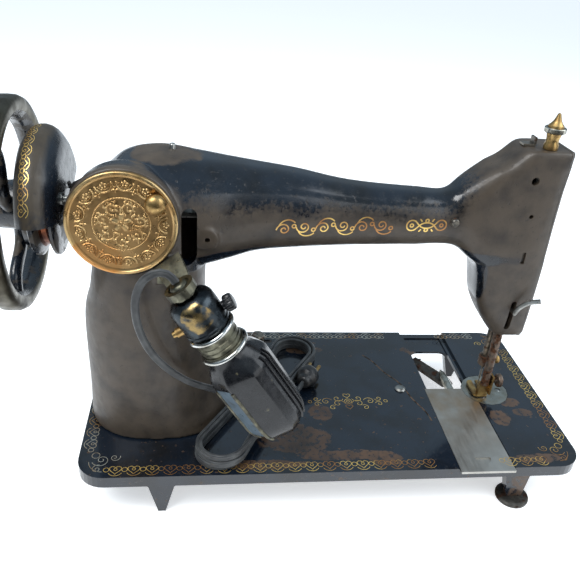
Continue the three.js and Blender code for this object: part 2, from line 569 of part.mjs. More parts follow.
function makeFeedDog() {
  const rows = [-3.6, 3.6].map((side) => {
    const teeth = [[-6.5, -6], [-6.5, 0.2]];
    for (let y = -6; y < 6; y += 1.5) teeth.push([y, 0.7], [y + 0.9, -0.1]);
    teeth.push([6.5, 0.2], [6.5, -6]);
    return slab(polygon(teeth), 'yz', BAR_X + side - 0.9, BAR_X + side + 0.9);
  });
  return cut(join(block(BAR_X - 4.5, BAR_X + 4.5, -6.5, 6.5, -7, -5), ...rows), needleSlot());
}

function makeFeedBar() {
  return cut(block(BAR_X - 4, BAR_X + 4, -7.5, 36, -13, -7 - GAP), needleSlot());
}

part('feed_dog', 'rusty_steel', makeFeedDog());
part('feed_bar', 'dark_iron', makeFeedBar());

function makeRockShaft() {
  const { y, z, left, right, radius } = ROCK_SHAFT;
  const length = right - left - 2 * (4 + GAP);
  const shaft = turned([left + 4 + GAP, y, z], [1, 0, 0],
    [[0, 2.6], [3, radius], [length - 3, radius], [length, 2.6]]);
  const feedHorn = block(BAR_X - 2.5, BAR_X + 2.5, y - 2.4, y + 2.4, z, -9);
  const driveHorn = block(76, 81, y - 16, y, z - 2.5, z + 2.5);
  return join(shaft, feedHorn, driveHorn);
}

part('feed_rock_shaft', 'dark_iron', makeRockShaft());
for (const [name, x, side] of [['left', ROCK_SHAFT.left, -1], ['right', ROCK_SHAFT.right, 1]]) {
  part(`rock_shaft_centre_screw_${name}`, 'bright_steel', turned([x + side * 9, ROCK_SHAFT.y, ROCK_SHAFT.z],
    [-side, 0, 0], [[0, 3.6], [3.8, 3.8], [4.4, 2.3], [12.6, 2.3]]));
}

function makeShuttleLever() {
  const { x, y } = SHUTTLE_PIVOT;
  const leverOutline = polygon([[x + 7, y - 5], [x + 7, y + 5], [-98, -50], [-103, -62], [-92, -62]]);
  const carrierOutline = polygon([[-98, -64], [-91, -58], [-112, -24], [-121, -24], [-120, -32]]);
  const lever = slab(leverOutline, 'xy', -15, -11.5);
  const carrier = slab(carrierOutline, 'xy', -15, -11);
  const end = rod([x, y, -15], [x, y, -11.5], 8);
  return cut(join(lever, carrier, end), rod([x, y, -20], [x, y, 0], 3));
}

part('shuttle_lever', 'dark_iron', makeShuttleLever());
part('shuttle_lever_pivot', 'bright_steel', turned(
  [SHUTTLE_PIVOT.x, SHUTTLE_PIVOT.y, -BED.plate - GAP], [0, 0, -1],
  [[0, 4.4], [5.2, 4.4], [5.4, 2.7], [10.2, 2.7], [10.4, 5.5], [13, 5]]));
part('shuttle', 'bright_steel', turned([-113, -38, -7], [0, 1, 0], [[0, 0.8], [5, 2.6], [14, 3.6], [34, 3.6],
  [39, 2.6], [42, 1]]));

part('stitch_regulator_screw', 'dark_iron', turned([50, -74, -8], [0, 0, 1],
  [[0, 2], [8.3, 2], [8.4, 6], [14, 6.4], [16, 5.2], [17, 2]]));

// ---- Work lamp on the pillar ------------------------------------------------------------------------

const LEAN = THREE.MathUtils.degToRad(LAMP.lean);
const LAMP_DOWN = [-Math.sin(LEAN), 0, -Math.cos(LEAN)];
const LAMP_SIDE = [-Math.cos(LEAN), 0, Math.sin(LEAN)];

// A point at a distance down the lamp's axis, out to its upper side, and towards the rear.
function onLamp(down, side = 0, rear = 0) {
  return [LAMP.x + down * LAMP_DOWN[0] + side * LAMP_SIDE[0], LAMP.y + rear,
    LAMP.z + down * LAMP_DOWN[2] + side * LAMP_SIDE[2]];
}

function lampTurned(from, profile) {
  return turned(onLamp(from), LAMP_DOWN, profile);
}

function lampBand(from, to, outer, inner) {
  return cut(rod(onLamp(from), onLamp(to), outer), rod(onLamp(from - 1), onLamp(to + 1), inner));
}

function makeLampBracket() {
  const rails = [[[131, 48.9, 138.5], [115, 48.9, 151.5]], [[126.5, 56, 136.8], [111.8, 56, 148.4]],
    [[119.5, 67, 133.6], [107.5, 67, 142.8]]];
  const thick = new THREE.Vector3(...LAMP_DOWN).multiplyScalar(3.5);
  const rings = rails.map(([low, high]) => {
    const [p, q] = [new THREE.Vector3(...low), new THREE.Vector3(...high)];
    return [p.clone().add(thick), q.clone().add(thick), q, p];
  });
  const foot = block(114, 128, 48.9, 52, 130, 139);
  const clamp = lampBand(-1, 4.2, 10, 7 + GAP);
  const forCollar = rod(onLamp(-20), onLamp(7), 7 + GAP);
  const forSocket = rod(onLamp(5.8), onLamp(30), 16);
  return cut(join(skin(rings), foot, clamp), forCollar, forSocket, atCover(COVER.radius + 2 * GAP, 40, 60));
}

function makeShade() {
  const width = (down) => {
    const ends = Math.min(1, Math.sqrt(Math.max(0, 1 - ((down - 112) / 20.5) ** 2)) || 1);
    if (down > 112) return 21.5 * ends;
    return down < 70 ? 15 + (6.5 * (1 - Math.cos((Math.PI * (down - 53.5)) / 16.5))) / 2 : 21.5;
  };
  const stations = [53.5, 57, 62, 66, 70, 112, 120, 126, 130, 132];
  const shell = (inset) => skin(stations.map((down, i) => {
    const atEnd = i === 0 || i + 1 === stations.length;
    const place = (u, v) => new THREE.Vector3(...onLamp(atEnd ? down - inset : down, u, v));
    const half = Math.max(width(down) - inset, 3);
    return ring(place, 0, 0, half, half * 0.96, 2.8, 20);
  }));
  const corners = [[78, -11], [118, -11], [118, 11], [78, 11]];
  const openingRing = (rear) => corners.map(([down, side]) => new THREE.Vector3(...onLamp(down, side, rear)));
  const opening = skin([openingRing(-40), openingRing(-9)]);
  return cut(shell(0), shell(1.6), opening);
}

part('lamp_bracket', 'pewter', makeLampBracket());
part('lamp_cord_collar', 'pewter', lampTurned(-3, [[0, 4.6], [0.6, 7], [9.7, 7]]));
part('lamp_socket', 'nickel', join(
  lampTurned(7, [[0, 8], [2, 12], [5.5, 14.6], [9, 15], [25.6, 15], [26.7, 14]]),
  rod(onLamp(27, -12), onLamp(27, -23), 3.4)));
part('lamp_shade_fitter', 'pewter', lampTurned(34, [[0, 14.6], [0.8, 16.4], [2, 16.4], [2.8, 14.4],
  [15.6, 14.4], [16.4, 17], [18.2, 17], [19.2, 14.6]]));
part('lamp_shade', 'lamp_black', makeShade());
part('lamp_bulb', 'bulb_glass', lampTurned(55.3,
  [[0, 7], [8, 7.4], [16, 10.5], [26, 13], [34, 13], [42, 9.5], [47, 4]]));
part('lamp_switch_knob', 'lamp_black', turned(onLamp(25, 15 + GAP), LAMP_SIDE,
  [[0, 3], [1.6, 3], [1.8, 5.6], [6.8, 5.6], [7.6, 4.6]]));

// ---- Flex of the lamp, its hank on the bed, and its plug --------------------------------------------

const CORD = { width: 5, thick: 2.6 };
const HANK = { x: 52.5, y: 9, length: 170, outer: 19, inner: 8, waist: 0.48, top: 10.5, turn: 0.503 };
const CORD_ROUTE = [ // chosen by hand, from the collar down behind the lamp to the hank
  [115.4, 73, 142.9], [118, 73.2, 145.6], [122.5, 73.4, 147.2], [130.5, 73, 144.5], [136.6, 72, 138.3],
  [139.9, 71, 128.5], [139.9, 70, 114.5], [136.8, 68, 99.5], [131, 65, 84.5], [120.7, 60.5, 68.4],
  [107.6, 56.5, 55.5], [94, 52, 46.5], [81, 47, 37.5], [70, 42, 28], [61, 38, 20],
  [57.5, 36.5, 14.5], [57, 36.4, HANK.top + 2 * GAP],
];

// A point on the hank: along its length, across it, and above the bed.
function onHank(along, across, z) {
  const [c, s] = [Math.cos(HANK.turn), Math.sin(HANK.turn)];
  return [HANK.x + along * s + across * c, HANK.y + along * c - across * s, z];
}

function hankOutline(half, reach) {
  const outline = new THREE.Shape();
  const straight = reach - half;
  outline.absarc(straight, 0, half, -Math.PI / 2, Math.PI / 2);
  outline.quadraticCurveTo(0, half * HANK.waist, -straight, half);
  outline.absarc(-straight, 0, half, Math.PI / 2, Math.PI * 1.5);
  outline.quadraticCurveTo(0, -half * HANK.waist, straight, -half);
  return outline;
}

function makeHank() {
  const innerReach = HANK.length / 2 - HANK.outer + HANK.inner;
  const outer = slab(hankOutline(HANK.outer, HANK.length / 2), 'xy', GAP, HANK.top, 8);
  const inner = slab(hankOutline(HANK.inner, innerReach), 'xy', -1, HANK.top + 1, 8);
  const flat = cut(outer, inner).rotate([0, 0, 90 - THREE.MathUtils.radToDeg(HANK.turn)]);
  return flat.translate([HANK.x, HANK.y, 0]);
}

part('cord_tube', 'cord_rubber', bent(CORD_ROUTE, CORD.width / 2, 30));
part('cord_hank', 'cord_rubber', makeHank());

const PLUG = { along: -24, across: -25.4, z: 9.5, radius: 9.2, length: 15 };

part('cord_plug_lead', 'cord_rubber', bent([onHank(14, -18.4, 3.2), onHank(4, -20.6, 4.2),
  onHank(-10, -24.2, 7.6), onHank(-18, PLUG.across, 9.4),
  onHank(PLUG.along + 2 * GAP, PLUG.across, PLUG.z)], CORD.width / 2, 8));
part('plug_body', 'plug_black', turned(onHank(PLUG.along, PLUG.across, PLUG.z),
  [-Math.sin(HANK.turn), -Math.cos(HANK.turn), 0],
  [[0, 4], [1, 5.6], [5, 6.4], [8, PLUG.radius], [PLUG.length, PLUG.radius]]));

function makePlugProngs() {
  const start = PLUG.along - PLUG.length - GAP;
  const at = (along, side) => onHank(along, PLUG.across + side, PLUG.z);
  const disc = rod(at(start, 0), at(start - 1.2, 0), PLUG.radius - 1.4);
  const prongs = [-4, 4].map((side) => rod(at(start, side), at(start - 14, side), 1.6));
  return join(disc, ...prongs);
}

part('plug_prongs', 'brass', makePlugProngs());

// ---- Origin: under the middle of the machine, without the flex, on what it stands on ----------------

const ON_CORD = ['cord_tube', 'cord_hank', 'cord_plug_lead', 'plug_body', 'plug_prongs'];
const extent = new THREE.Box3();
for (const mesh of model.children) {
  if (!ON_CORD.includes(mesh.name)) extent.expandByObject(mesh, true);
}
const middle = extent.getCenter(new THREE.Vector3());
model.position.set(-middle.x, -middle.y, -extent.min.z);

export default model;
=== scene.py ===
"""Looks of an antique sewing machine with a clip-on work lamp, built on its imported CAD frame.

Shapes are worked out in millimetres from the middle of the bed's top face; at() turns them into metres."""
import math

import bmesh
import bpy
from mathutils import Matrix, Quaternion, Vector
from mathutils.kdtree import KDTree


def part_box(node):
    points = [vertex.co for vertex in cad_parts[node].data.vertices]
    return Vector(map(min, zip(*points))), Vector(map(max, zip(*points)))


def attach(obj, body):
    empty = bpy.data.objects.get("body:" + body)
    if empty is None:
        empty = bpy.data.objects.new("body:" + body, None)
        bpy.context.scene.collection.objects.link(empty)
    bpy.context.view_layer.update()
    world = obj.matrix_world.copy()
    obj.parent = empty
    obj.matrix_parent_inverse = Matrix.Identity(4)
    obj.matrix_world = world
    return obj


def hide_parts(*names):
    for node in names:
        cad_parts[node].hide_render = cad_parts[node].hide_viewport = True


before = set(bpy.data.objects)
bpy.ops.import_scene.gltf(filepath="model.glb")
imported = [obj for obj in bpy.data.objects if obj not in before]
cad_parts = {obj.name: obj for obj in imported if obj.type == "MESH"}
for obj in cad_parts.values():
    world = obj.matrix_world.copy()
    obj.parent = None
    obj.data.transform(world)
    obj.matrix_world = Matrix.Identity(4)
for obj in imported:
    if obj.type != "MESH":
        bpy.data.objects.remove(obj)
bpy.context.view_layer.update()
scene = bpy.context.scene

# ---- Driving dimensions, millimetres ----

MM = 0.001
BED_LOW, BED_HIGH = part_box("bed")
BED = Vector(((BED_LOW.x + BED_HIGH.x) / 2, (BED_LOW.y + BED_HIGH.y) / 2, BED_HIGH.z))
HALF_LENGTH = (BED_HIGH.x - BED_LOW.x) / 2 / MM
HALF_WIDTH = (BED_HIGH.y - BED_LOW.y) / 2 / MM
FLOOR = (BED_LOW.z - BED.z) / MM


def local_box(node):
    """A CAD node's lowest and highest corners in millimetres from the bed's middle."""
    low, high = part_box(node)
    return (low - BED) / MM, (high - BED) / MM


def local_middle(node):
    low, high = local_box(node)
    return (low + high) / 2


UP, REAR, OUT = Vector((0, 0, 1)), Vector((0, 1, 0)), Vector((-1, 0, 0))
ALONG_SHAFT = Vector((1, 0, 0))
SHAFT = local_middle("hand_wheel").z
WHEEL_START = local_box("hand_wheel")[0].x
COVER_LOW, COVER_HIGH = local_box("rear_cover")
COVER = local_middle("rear_cover")
COVER_RADIUS = (COVER_HIGH.x - COVER_LOW.x) / 2
FLANGE_RADIUS = COVER_RADIUS + 0.9
THUMB = local_middle("rear_cover_thumb_screw")
THUMB_START = local_box("rear_cover_thumb_screw")[0].y
BAR_X = local_middle("presser_bar").x
NEEDLE_Y = local_middle("needle_bar").y
PRESSER_Y = local_middle("presser_bar").y
FACE = local_box("face_plate")[1].x + 0.3
GUARD_INNER = local_box("belt_guard")[0].x
WALL = 5.0
LAMP = Vector((113.5, 73.0, 139.9))  # where the lamp's axis starts, above its collar
LAMP_LEAN = math.radians(33)
LAMP_DOWN = Vector((-math.sin(LAMP_LEAN), 0, -math.cos(LAMP_LEAN)))
LAMP_SIDE = Vector((-math.cos(LAMP_LEAN), 0, math.sin(LAMP_LEAN)))


def at(x, y, z):
    """Metres in the shared frame from millimetres on the bed."""
    return BED + Vector((x, y, z)) * MM


def on_lamp(down, side=0.0, rear=0.0):
    """A point from the start of the lamp's axis: down it, to its side and to the rear."""
    return LAMP + down * LAMP_DOWN + side * LAMP_SIDE + rear * REAR


# ---- Mesh tools ----

def mesh_object(name, points, faces, material=None, sharp=35):
    """A new object from points in millimetres on the bed."""
    mesh = bpy.data.meshes.new(name)
    mesh.from_pydata([at(*point) for point in points], [], faces)
    tidy = bmesh.new()
    tidy.from_mesh(mesh)
    bmesh.ops.remove_doubles(tidy, verts=tidy.verts, dist=1e-6)
    bmesh.ops.recalc_face_normals(tidy, faces=tidy.faces)
    tidy.to_mesh(mesh)
    tidy.free()
    smooth(mesh, sharp)
    obj = bpy.data.objects.new(name, mesh)
    scene.collection.objects.link(obj)
    if material:
        mesh.materials.append(material)
    return obj


def smooth(mesh, sharp=35):
    mesh.shade_smooth()
    mesh.set_sharp_from_angle(angle=math.radians(sharp))


def ride(obj, body, slot, *nodes):
    """The piece moves with a body and stands for the CAD nodes; slot is not used."""
    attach(obj, body)
    if nodes:
        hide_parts(*nodes)
    return obj


def baked(obj):
    """Applies an object's modifiers to its mesh."""
    graph = bpy.context.evaluated_depsgraph_get()
    mesh = bpy.data.meshes.new_from_object(obj.evaluated_get(graph))
    obj.modifiers.clear()
    obj.data = mesh
    return obj


def axes_for(axis):
    """Two directions square to an axis."""
    helper = UP if abs(axis.z) < 0.9 else ALONG_SHAFT
    first = axis.cross(helper).normalized()
    return first, axis.cross(first).normalized()


def ribbed_shape(start, axis, rows, sides, groove):
    """A turned piece with ribs: rows are (along, radius, rib depth), groove(i) a side's share of it."""
    start, axis = Vector(start), Vector(axis).normalized()
    first, second = axes_for(axis)
    rings = []
    for along, radius, depth in rows:
        ring = []
        for i in range(sides):
            angle = 2 * math.pi * i / sides
            outward = first * math.cos(angle) + second * math.sin(angle)
            ring.append(start + axis * along + outward * (radius - depth * groove(i)))
        rings.append(ring)
    return loft_shape(rings)


def lathe_shape(start, axis, profile, sides=64):
    """Points and faces of a turned piece; profile rows are (distance along the axis, radius)."""
    return ribbed_shape(start, axis, [(along, radius, 0) for along, radius in profile], sides, lambda i: 0)


def ring_shape(start, axis, profile, sides=160):
    """A turned ring whose closed profile doesn't reach the axis."""
    first, second = axes_for(axis)
    rings = []
    for step in range(sides + 1):
        angle = 2 * math.pi * step / sides
        outward = first * math.cos(angle) + second * math.sin(angle)
        rings.append([Vector(start) + axis * along + outward * radius for along, radius in profile])
    points, faces = loft_shape(rings)
    return points, faces[:-2]


def lathe(name, start, axis, profile, material, sides=64, sharp=35):
    points, faces = lathe_shape(start, axis, profile, sides)
    return mesh_object(name, points, faces, material, sharp)


def loft_shape(rings):
    """Points and faces of a closed skin over rings of equally many points."""
    count = len(rings[0])
    points = [point for ring in rings for point in ring]
    faces = []
    for row in range(len(rings) - 1):
        for i in range(count):
            a, b = row * count + i, row * count + (i + 1) % count
            faces.append((a, b, b + count, a + count))
    faces.append(tuple(range(count)))
    faces.append(tuple(range((len(rings) - 1) * count, len(rings) * count)))
    return points, faces


def combined(shapes):
    """Several (points, faces) shapes as one."""
    points, faces = [], []
    for more_points, more_faces in shapes:
        faces += [tuple(corner + len(points) for corner in face) for face in more_faces]
        points += list(more_points)
    return points, faces


def superellipse(centre_u, centre_v, half_u, half_v, power, count, place):
    """A ring between an oval and a box; place turns its two coordinates into a point."""
    ring = []
    for i in range(count):
        angle = 2 * math.pi * (i + 0.5) / count
        c, s = math.cos(angle), math.sin(angle)
        u = centre_u + half_u * math.copysign(abs(c) ** (2 / power), c)
        v = centre_v + half_v * math.copysign(abs(s) ** (2 / power), s)
        ring.append(place(u, v))
    return ring


def smooth_rows(rows, steps):
    """Rows of numbers with more rows between them, on a smooth curve through them."""
    result = []
    for i in range(len(rows) - 1):
        p0, p1, p2 = rows[max(i - 1, 0)], rows[i], rows[i + 1]
        p3 = rows[min(i + 2, len(rows) - 1)]
        for step in range(steps):
            t = step / steps
            result.append([
                b + 0.5 * t * (c - a + t * (2 * a - 5 * b + 4 * c - d + t * (3 * b - a - 3 * c + d)))
                for a, b, c, d in zip(p0, p1, p2, p3)])
    return result + [list(rows[-1])]


def box_shape(x0, x1, y0, y1, z0, z1):
    corners = [(x, y, z) for x in (x0, x1) for y in (y0, y1) for z in (z0, z1)]
    faces = [(0, 1, 3, 2), (4, 6, 7, 5), (0, 4, 5, 1), (2, 3, 7, 6), (0, 2, 6, 4), (1, 5, 7, 3)]
    return corners, faces


def tube_shape(path, radius, sides=12, flat=1.0, up=None):
    """A bar of oval section along points: radius up, and radius times flat across."""
    path = [Vector(point) for point in path]
    rings = []
    normal = Vector(up) if up else axes_for((path[1] - path[0]).normalized())[0]
    for i, point in enumerate(path):
        tangent = (path[min(i + 1, len(path) - 1)] - path[max(i - 1, 0)]).normalized()
        normal = (normal - tangent * normal.dot(tangent)).normalized()
        across = tangent.cross(normal)
        rings.append([point + normal * radius * math.cos(2 * math.pi * k / sides)
                      + across * radius * flat * math.sin(2 * math.pi * k / sides) for k in range(sides)])
    return loft_shape(rings)


def remesh(obj, voxel, smoothing=0):
    """Joins an object's overlapping shapes into one skin of voxels, and relaxes it."""
    modifier = obj.modifiers.new("voxels", "REMESH")
    modifier.mode = "VOXEL"
    modifier.voxel_size = voxel * MM
    if smoothing:
        relax = obj.modifiers.new("relax", "SMOOTH")
        relax.factor = 0.5
        relax.iterations = smoothing
    return baked(obj)


def cut_out(obj, cutter):
    """Cuts one object out of another and removes the cutter."""
    modifier = obj.modifiers.new("cut", "BOOLEAN")
    modifier.operation = "DIFFERENCE"
    modifier.solver = "MANIFOLD"
    modifier.object = cutter
    baked(obj)
    bpy.data.objects.remove(cutter)


def subtract(obj, shapes):
    """Cuts closed shapes out of an object."""
    for shape in shapes:
        cut_out(obj, mesh_object("cutter", *shape))


# ---- Material tools ----

class Shader:
    """A material with one Principled shader and short calls for the nodes that feed it."""

    def __init__(self, name, roughness=0.5, metallic=0.0, coat=0.0):
        self.material = bpy.data.materials.new(name)
        self.material.use_nodes = True
        self.tree = self.material.node_tree
        self.shader = self.tree.nodes["Principled BSDF"]
        self.shader.inputs["Roughness"].default_value = roughness
        self.shader.inputs["Metallic"].default_value = metallic
        self.shader.inputs["Coat Weight"].default_value = coat
        self.shader.inputs["Coat Roughness"].default_value = 0.08
        self.coordinates = self.tree.nodes.new("ShaderNodeTexCoord").outputs["Object"]

    def link(self, source, target):
        if hasattr(source, "is_output"):
            self.tree.links.new(source, target)
        else:
            target.default_value = source

    def math(self, operation, a, b=0.0, clamp=False):
        node = self.tree.nodes.new("ShaderNodeMath")
        node.operation = operation
        node.use_clamp = clamp
        self.link(a, node.inputs[0])
        self.link(b, node.inputs[1])
        return node.outputs[0]

    def axis(self, name):
        """A coordinate in millimetres on the bed."""
        split = self.tree.nodes.new("ShaderNodeSeparateXYZ")
        self.link(self.coordinates, split.inputs[0])
        offset = {"X": BED.x, "Y": BED.y, "Z": BED.z}[name]
        return self.math("DIVIDE", self.math("SUBTRACT", split.outputs[name], offset), MM)

    def noise(self, size, detail=4.0, stretch=(1, 1, 1)):
        """Noise whose lumps are about size millimetres across."""
        mapping = self.tree.nodes.new("ShaderNodeMapping")
        mapping.inputs["Scale"].default_value = stretch
        self.link(self.coordinates, mapping.inputs["Vector"])
        node = self.tree.nodes.new("ShaderNodeTexNoise")
        node.inputs["Scale"].default_value = 1 / (size * MM)
        node.inputs["Detail"].default_value = detail
        self.link(mapping.outputs[0], node.inputs["Vector"])
        return node.outputs["Fac"]

    def ramp(self, value, low, high, start=0.0, end=1.0):
        node = self.tree.nodes.new("ShaderNodeMapRange")
        node.clamp = True
        self.link(value, node.inputs["Value"])
        node.inputs["From Min"].default_value = low
        node.inputs["From Max"].default_value = high
        node.inputs["To Min"].default_value = start
        node.inputs["To Max"].default_value = end
        return node.outputs[0]

    def blob(self, centre, half, ragged=0.35):
        """One inside an uneven ellipsoid round a point on the bed, and zero outside."""
        total = 0.0
        for name, middle, reach in zip("XYZ", centre, half):
            if reach is None:
                continue
            near = self.math("DIVIDE", self.math("SUBTRACT", self.axis(name), middle), reach)
            total = self.math("ADD", self.math("MULTIPLY", near, near), total)
        uneven = self.math("ADD", total, self.math("MULTIPLY", self.noise(16), 4 * ragged))
        edge, fade = 1 + 2 * ragged, 0.12
        return self.ramp(uneven, edge + fade, edge - fade)

    def mix(self, factor, a, b):
        node = self.tree.nodes.new("ShaderNodeMix")
        node.data_type = "RGBA"
        self.link(factor, node.inputs["Factor"])
        self.link(a, node.inputs["A"])
        self.link(b, node.inputs["B"])
        return node.outputs["Result"]

    def color(self, value):
        self.link(value, self.shader.inputs["Base Color"])
        return self

    def rough(self, value):
        self.link(value, self.shader.inputs["Roughness"])
        return self

    def bump(self, height, strength, distance=0.3):
        node = self.tree.nodes.new("ShaderNodeBump")
        node.inputs["Strength"].default_value = strength
        node.inputs["Distance"].default_value = distance * MM
        self.link(height, node.inputs["Height"])
        self.link(node.outputs[0], self.shader.inputs["Normal"])
        return self

    def finish(self, gloss=None, bump=None):
        """Uneven gloss (size, low, high, smoothest, dullest), fine bumps (size, detail, strength, depth)."""
        if gloss:
            size, *span = gloss
            self.rough(self.ramp(self.noise(size), *span))
        if bump:
            size, detail, strength, depth = bump
            self.bump(self.noise(size, detail), strength, depth)
        return self.material


def srgb(r, g, b):
    """A linear colour from 0 to 255 display values."""
    def channel(value):
        value /= 255
        return value / 12.92 if value <= 0.04045 else ((value + 0.055) / 1.055) ** 2.4
    return (channel(r), channel(g), channel(b), 1.0)


JAPAN = srgb(16, 24, 34)
JAPAN_DARK = srgb(9, 12, 17)
BROWN = srgb(68, 58, 47)
BROWN_DARK = srgb(38, 31, 25)
RUST = srgb(104, 70, 50)


def speckled(shader, base, other, size, low=0.45, high=0.62):
    """Two colours in soft lumps."""
    return shader.mix(shader.ramp(shader.noise(size), low, high), base, other)


def paint_layers(shader, worn, brown=BROWN, brown_dark=BROWN_DARK, gloss=0.16, matte=0.5):
    """Glossy japan where worn is zero, and rubbed brown-grey where it is one."""
    black = speckled(shader, JAPAN, JAPAN_DARK, 30)
    bare = speckled(shader, brown, brown_dark, 14, 0.42, 0.78)
    pits = shader.ramp(shader.noise(2.6, 4.0), 0.64, 0.70)
    shader.color(shader.mix(shader.math("MULTIPLY", pits, 0.6), shader.mix(worn, black, bare), BROWN_DARK))
    grain = shader.ramp(shader.noise(5.0), 0.3, 0.7, -0.05, 0.09)
    rough = shader.math("ADD", shader.math("MULTIPLY", worn, matte - gloss), gloss)
    shader.rough(shader.math("ADD", rough, grain, clamp=True))
    chips = shader.math("MULTIPLY", shader.noise(3.0, 5.0), worn)
    shader.bump(shader.math("SUBTRACT", chips, pits), 0.35)
    return shader.material


def centred(shader, size, detail, spread):
    """Noise about zero that reaches half of spread to each side."""
    return shader.math("MULTIPLY", shader.math("SUBTRACT", shader.noise(size, detail), 0.5), spread)


def casting_paint():
    """The arm keeps its gloss on its upper half; the pillar, the head and the top near it are rubbed."""
    shader = Shader("casting_paint", coat=0.12)
    x, z = shader.axis("X"), shader.axis("Z")
    ragged = shader.math("ADD", centred(shader, 22.0, 4.0, 20), centred(shader, 2.4, 8.0, 22))
    height = shader.math("ADD", z, ragged)
    glossy_from = shader.ramp(x, -75, 95, 166, 172)
    below = shader.ramp(shader.math("SUBTRACT", height, glossy_from), 5, -5)
    pillar = shader.math("MULTIPLY", shader.ramp(shader.math("ADD", x, ragged), 84, 92),
                         shader.ramp(height, 184, 170))
    drum = shader.math("MULTIPLY", shader.blob((COVER.x, COVER.y, COVER.z), (37, None, 37), 0.02),
                       shader.ramp(shader.axis("Y"), 30, 36))
    head_line = shader.math("ADD", shader.math("ADD", x, ragged), shader.math("MULTIPLY", z, 0.25))
    worn = below
    for zone in (drum, pillar, shader.ramp(head_line, -30, -40), shader.blob((124, 0, 208), (40, 60, 11))):
        worn = shader.math("MAXIMUM", worn, zone)
    flank = shader.blob((-94, 0, 108), (13, None, 30), 0.1)
    low_arm = shader.blob((20, 12, 134), (150, 40, 8), 0.2)
    keep = shader.math("SUBTRACT", 1.0, shader.math("MAXIMUM", flank, low_arm))
    return paint_layers(shader, shader.math("MULTIPLY", worn, keep))


BARE_PATCHES = [  # along and across the bed, and half the size each way
    (30, 55, 26, 16), (-2, 72, 34, 5), (56, 80, 30, 5), (-140, 34, 8, 9), (-155, 16, 9, 6), (-160, 28, 8, 5),
    (-150, 80, 18, 5), (-34, 76, 12, 7), (6, 26, 10, 9), (8, -60, 16, 6), (-88, -60, 8, 5),
]


def bed_paint():
    """Gloss with brown patches where the paint has gone."""
    shader = Shader("bed_paint", coat=0.3)
    worn = 0.0
    for x, y, half_x, half_y in BARE_PATCHES:
        worn = shader.math("MAXIMUM", shader.blob((x, y, 0), (half_x, half_y, None), 0.5), worn)
    holes = shader.ramp(shader.noise(4.0, 8.0), 0.5, 0.6)
    worn = shader.math("SUBTRACT", worn, shader.math("MULTIPLY", holes, 0.75), clamp=True)
    specks = shader.ramp(shader.noise(5.0, 5.0), 0.66, 0.69)
    worn = shader.math("MAXIMUM", worn, shader.math("MULTIPLY", specks, 0.8))
    return paint_layers(shader, worn, srgb(74, 54, 38), srgb(42, 31, 23), gloss=0.14)


def guard_paint():
    """The guard's barrel is rubbed, and its end towards the pillar stays glossy black as painted shade."""
    shader = Shader("guard_paint", coat=0.1)
    # the end towards the pillar gets no wear and stays black: painted shade on that end face
    outside = shader.ramp(shader.axis("X"), GUARD_INNER + 9, GUARD_INNER + 12)
    worn = shader.math("MULTIPLY", shader.ramp(shader.noise(14.0, 6.0), 0.3, 0.42), outside)
    return paint_layers(shader, worn, srgb(60, 51, 38), srgb(36, 30, 23), gloss=0.25)


def wheel_paint():
    """The black of the wheel's spokes and hub, rubbed in places."""
    shader = Shader("wheel_paint", coat=0.1)
    worn = shader.ramp(shader.noise(12.0, 6.0), 0.5, 0.56)
    return paint_layers(shader, worn, srgb(70, 62, 52), srgb(40, 35, 30), gloss=0.22)


def metal(name, base, dark, roughness, size=8.0, scratch=0.2):
    """A metal with uneven tarnish, finer scratches and uneven gloss."""
    shader = Shader(name, roughness, 1.0)
    tarnish = shader.ramp(shader.noise(size, 6.0), 0.42, 0.68)
    shader.color(shader.mix(tarnish, srgb(*base), srgb(*dark)))
    shader.rough(shader.ramp(shader.noise(size / 2, 5.0), 0.3, 0.75, roughness - 0.1, roughness + 0.22))
    return shader.finish(bump=(1.5, 3.0, scratch, 0.1))


def rusty(name, base, rust, amount, roughness=0.5):
    """Steel with rust in patches: amount from 0 to 1."""
    shader = Shader(name, roughness, 0.75)
    patch = shader.ramp(shader.noise(6.0, 8.0), 0.68 - 0.35 * amount, 0.74 - 0.3 * amount)
    clean = speckled(shader, srgb(*base), srgb(80, 78, 74), 3.0)
    shader.color(shader.mix(patch, clean, speckled(shader, rust, BROWN_DARK, 2.0)))
    shader.rough(shader.math("ADD", shader.math("MULTIPLY", patch, 0.35), roughness, clamp=True))
    return shader.finish(bump=(1.2, 4.0, 0.3, 0.2))


def slide_steel():
    """A scratched steel plate with a rusty tint towards its far part."""
    shader = Shader("slide_steel", 0.3, 0.9)
    rust = shader.math("MULTIPLY", shader.ramp(shader.axis("Y"), 78, 20),
                       shader.ramp(shader.noise(20.0, 6.0), 0.3, 0.75))
    clean = speckled(shader, srgb(178, 176, 170), srgb(150, 147, 140), 12.0, 0.3, 0.8)
    shader.color(shader.mix(rust, clean, srgb(150, 128, 102)))
    lines = shader.noise(2.0, 4.0, (1.0, 0.06, 1.0))
    shader.rough(shader.ramp(lines, 0.3, 0.7, 0.3, 0.46))
    shader.bump(lines, 0.06, 0.05)
    return shader.material


def old_brass():
    """Brass that is bright on what stands proud and dark in the low parts of the relief."""
    shader = Shader("old_brass", 0.34, 1.0)
    depth = shader.ramp(shader.math("SUBTRACT", shader.axis("Y"), COVER_LOW.y), 1.5, 3.3)
    tone = speckled(shader, srgb(222, 192, 138), srgb(196, 158, 104), 13.0)
    orange = shader.blob((COVER.x + 18, COVER.y, COVER.z - 24), (20, None, 12), 0.3)
    tone = shader.mix(shader.math("MULTIPLY", orange, 0.7), tone, srgb(206, 132, 62))
    shader.color(shader.mix(depth, srgb(144, 112, 72), tone))
    return shader.finish((5.0, 0.35, 0.7, 0.26, 0.48), (1.0, 3.0, 0.08, 0.1))


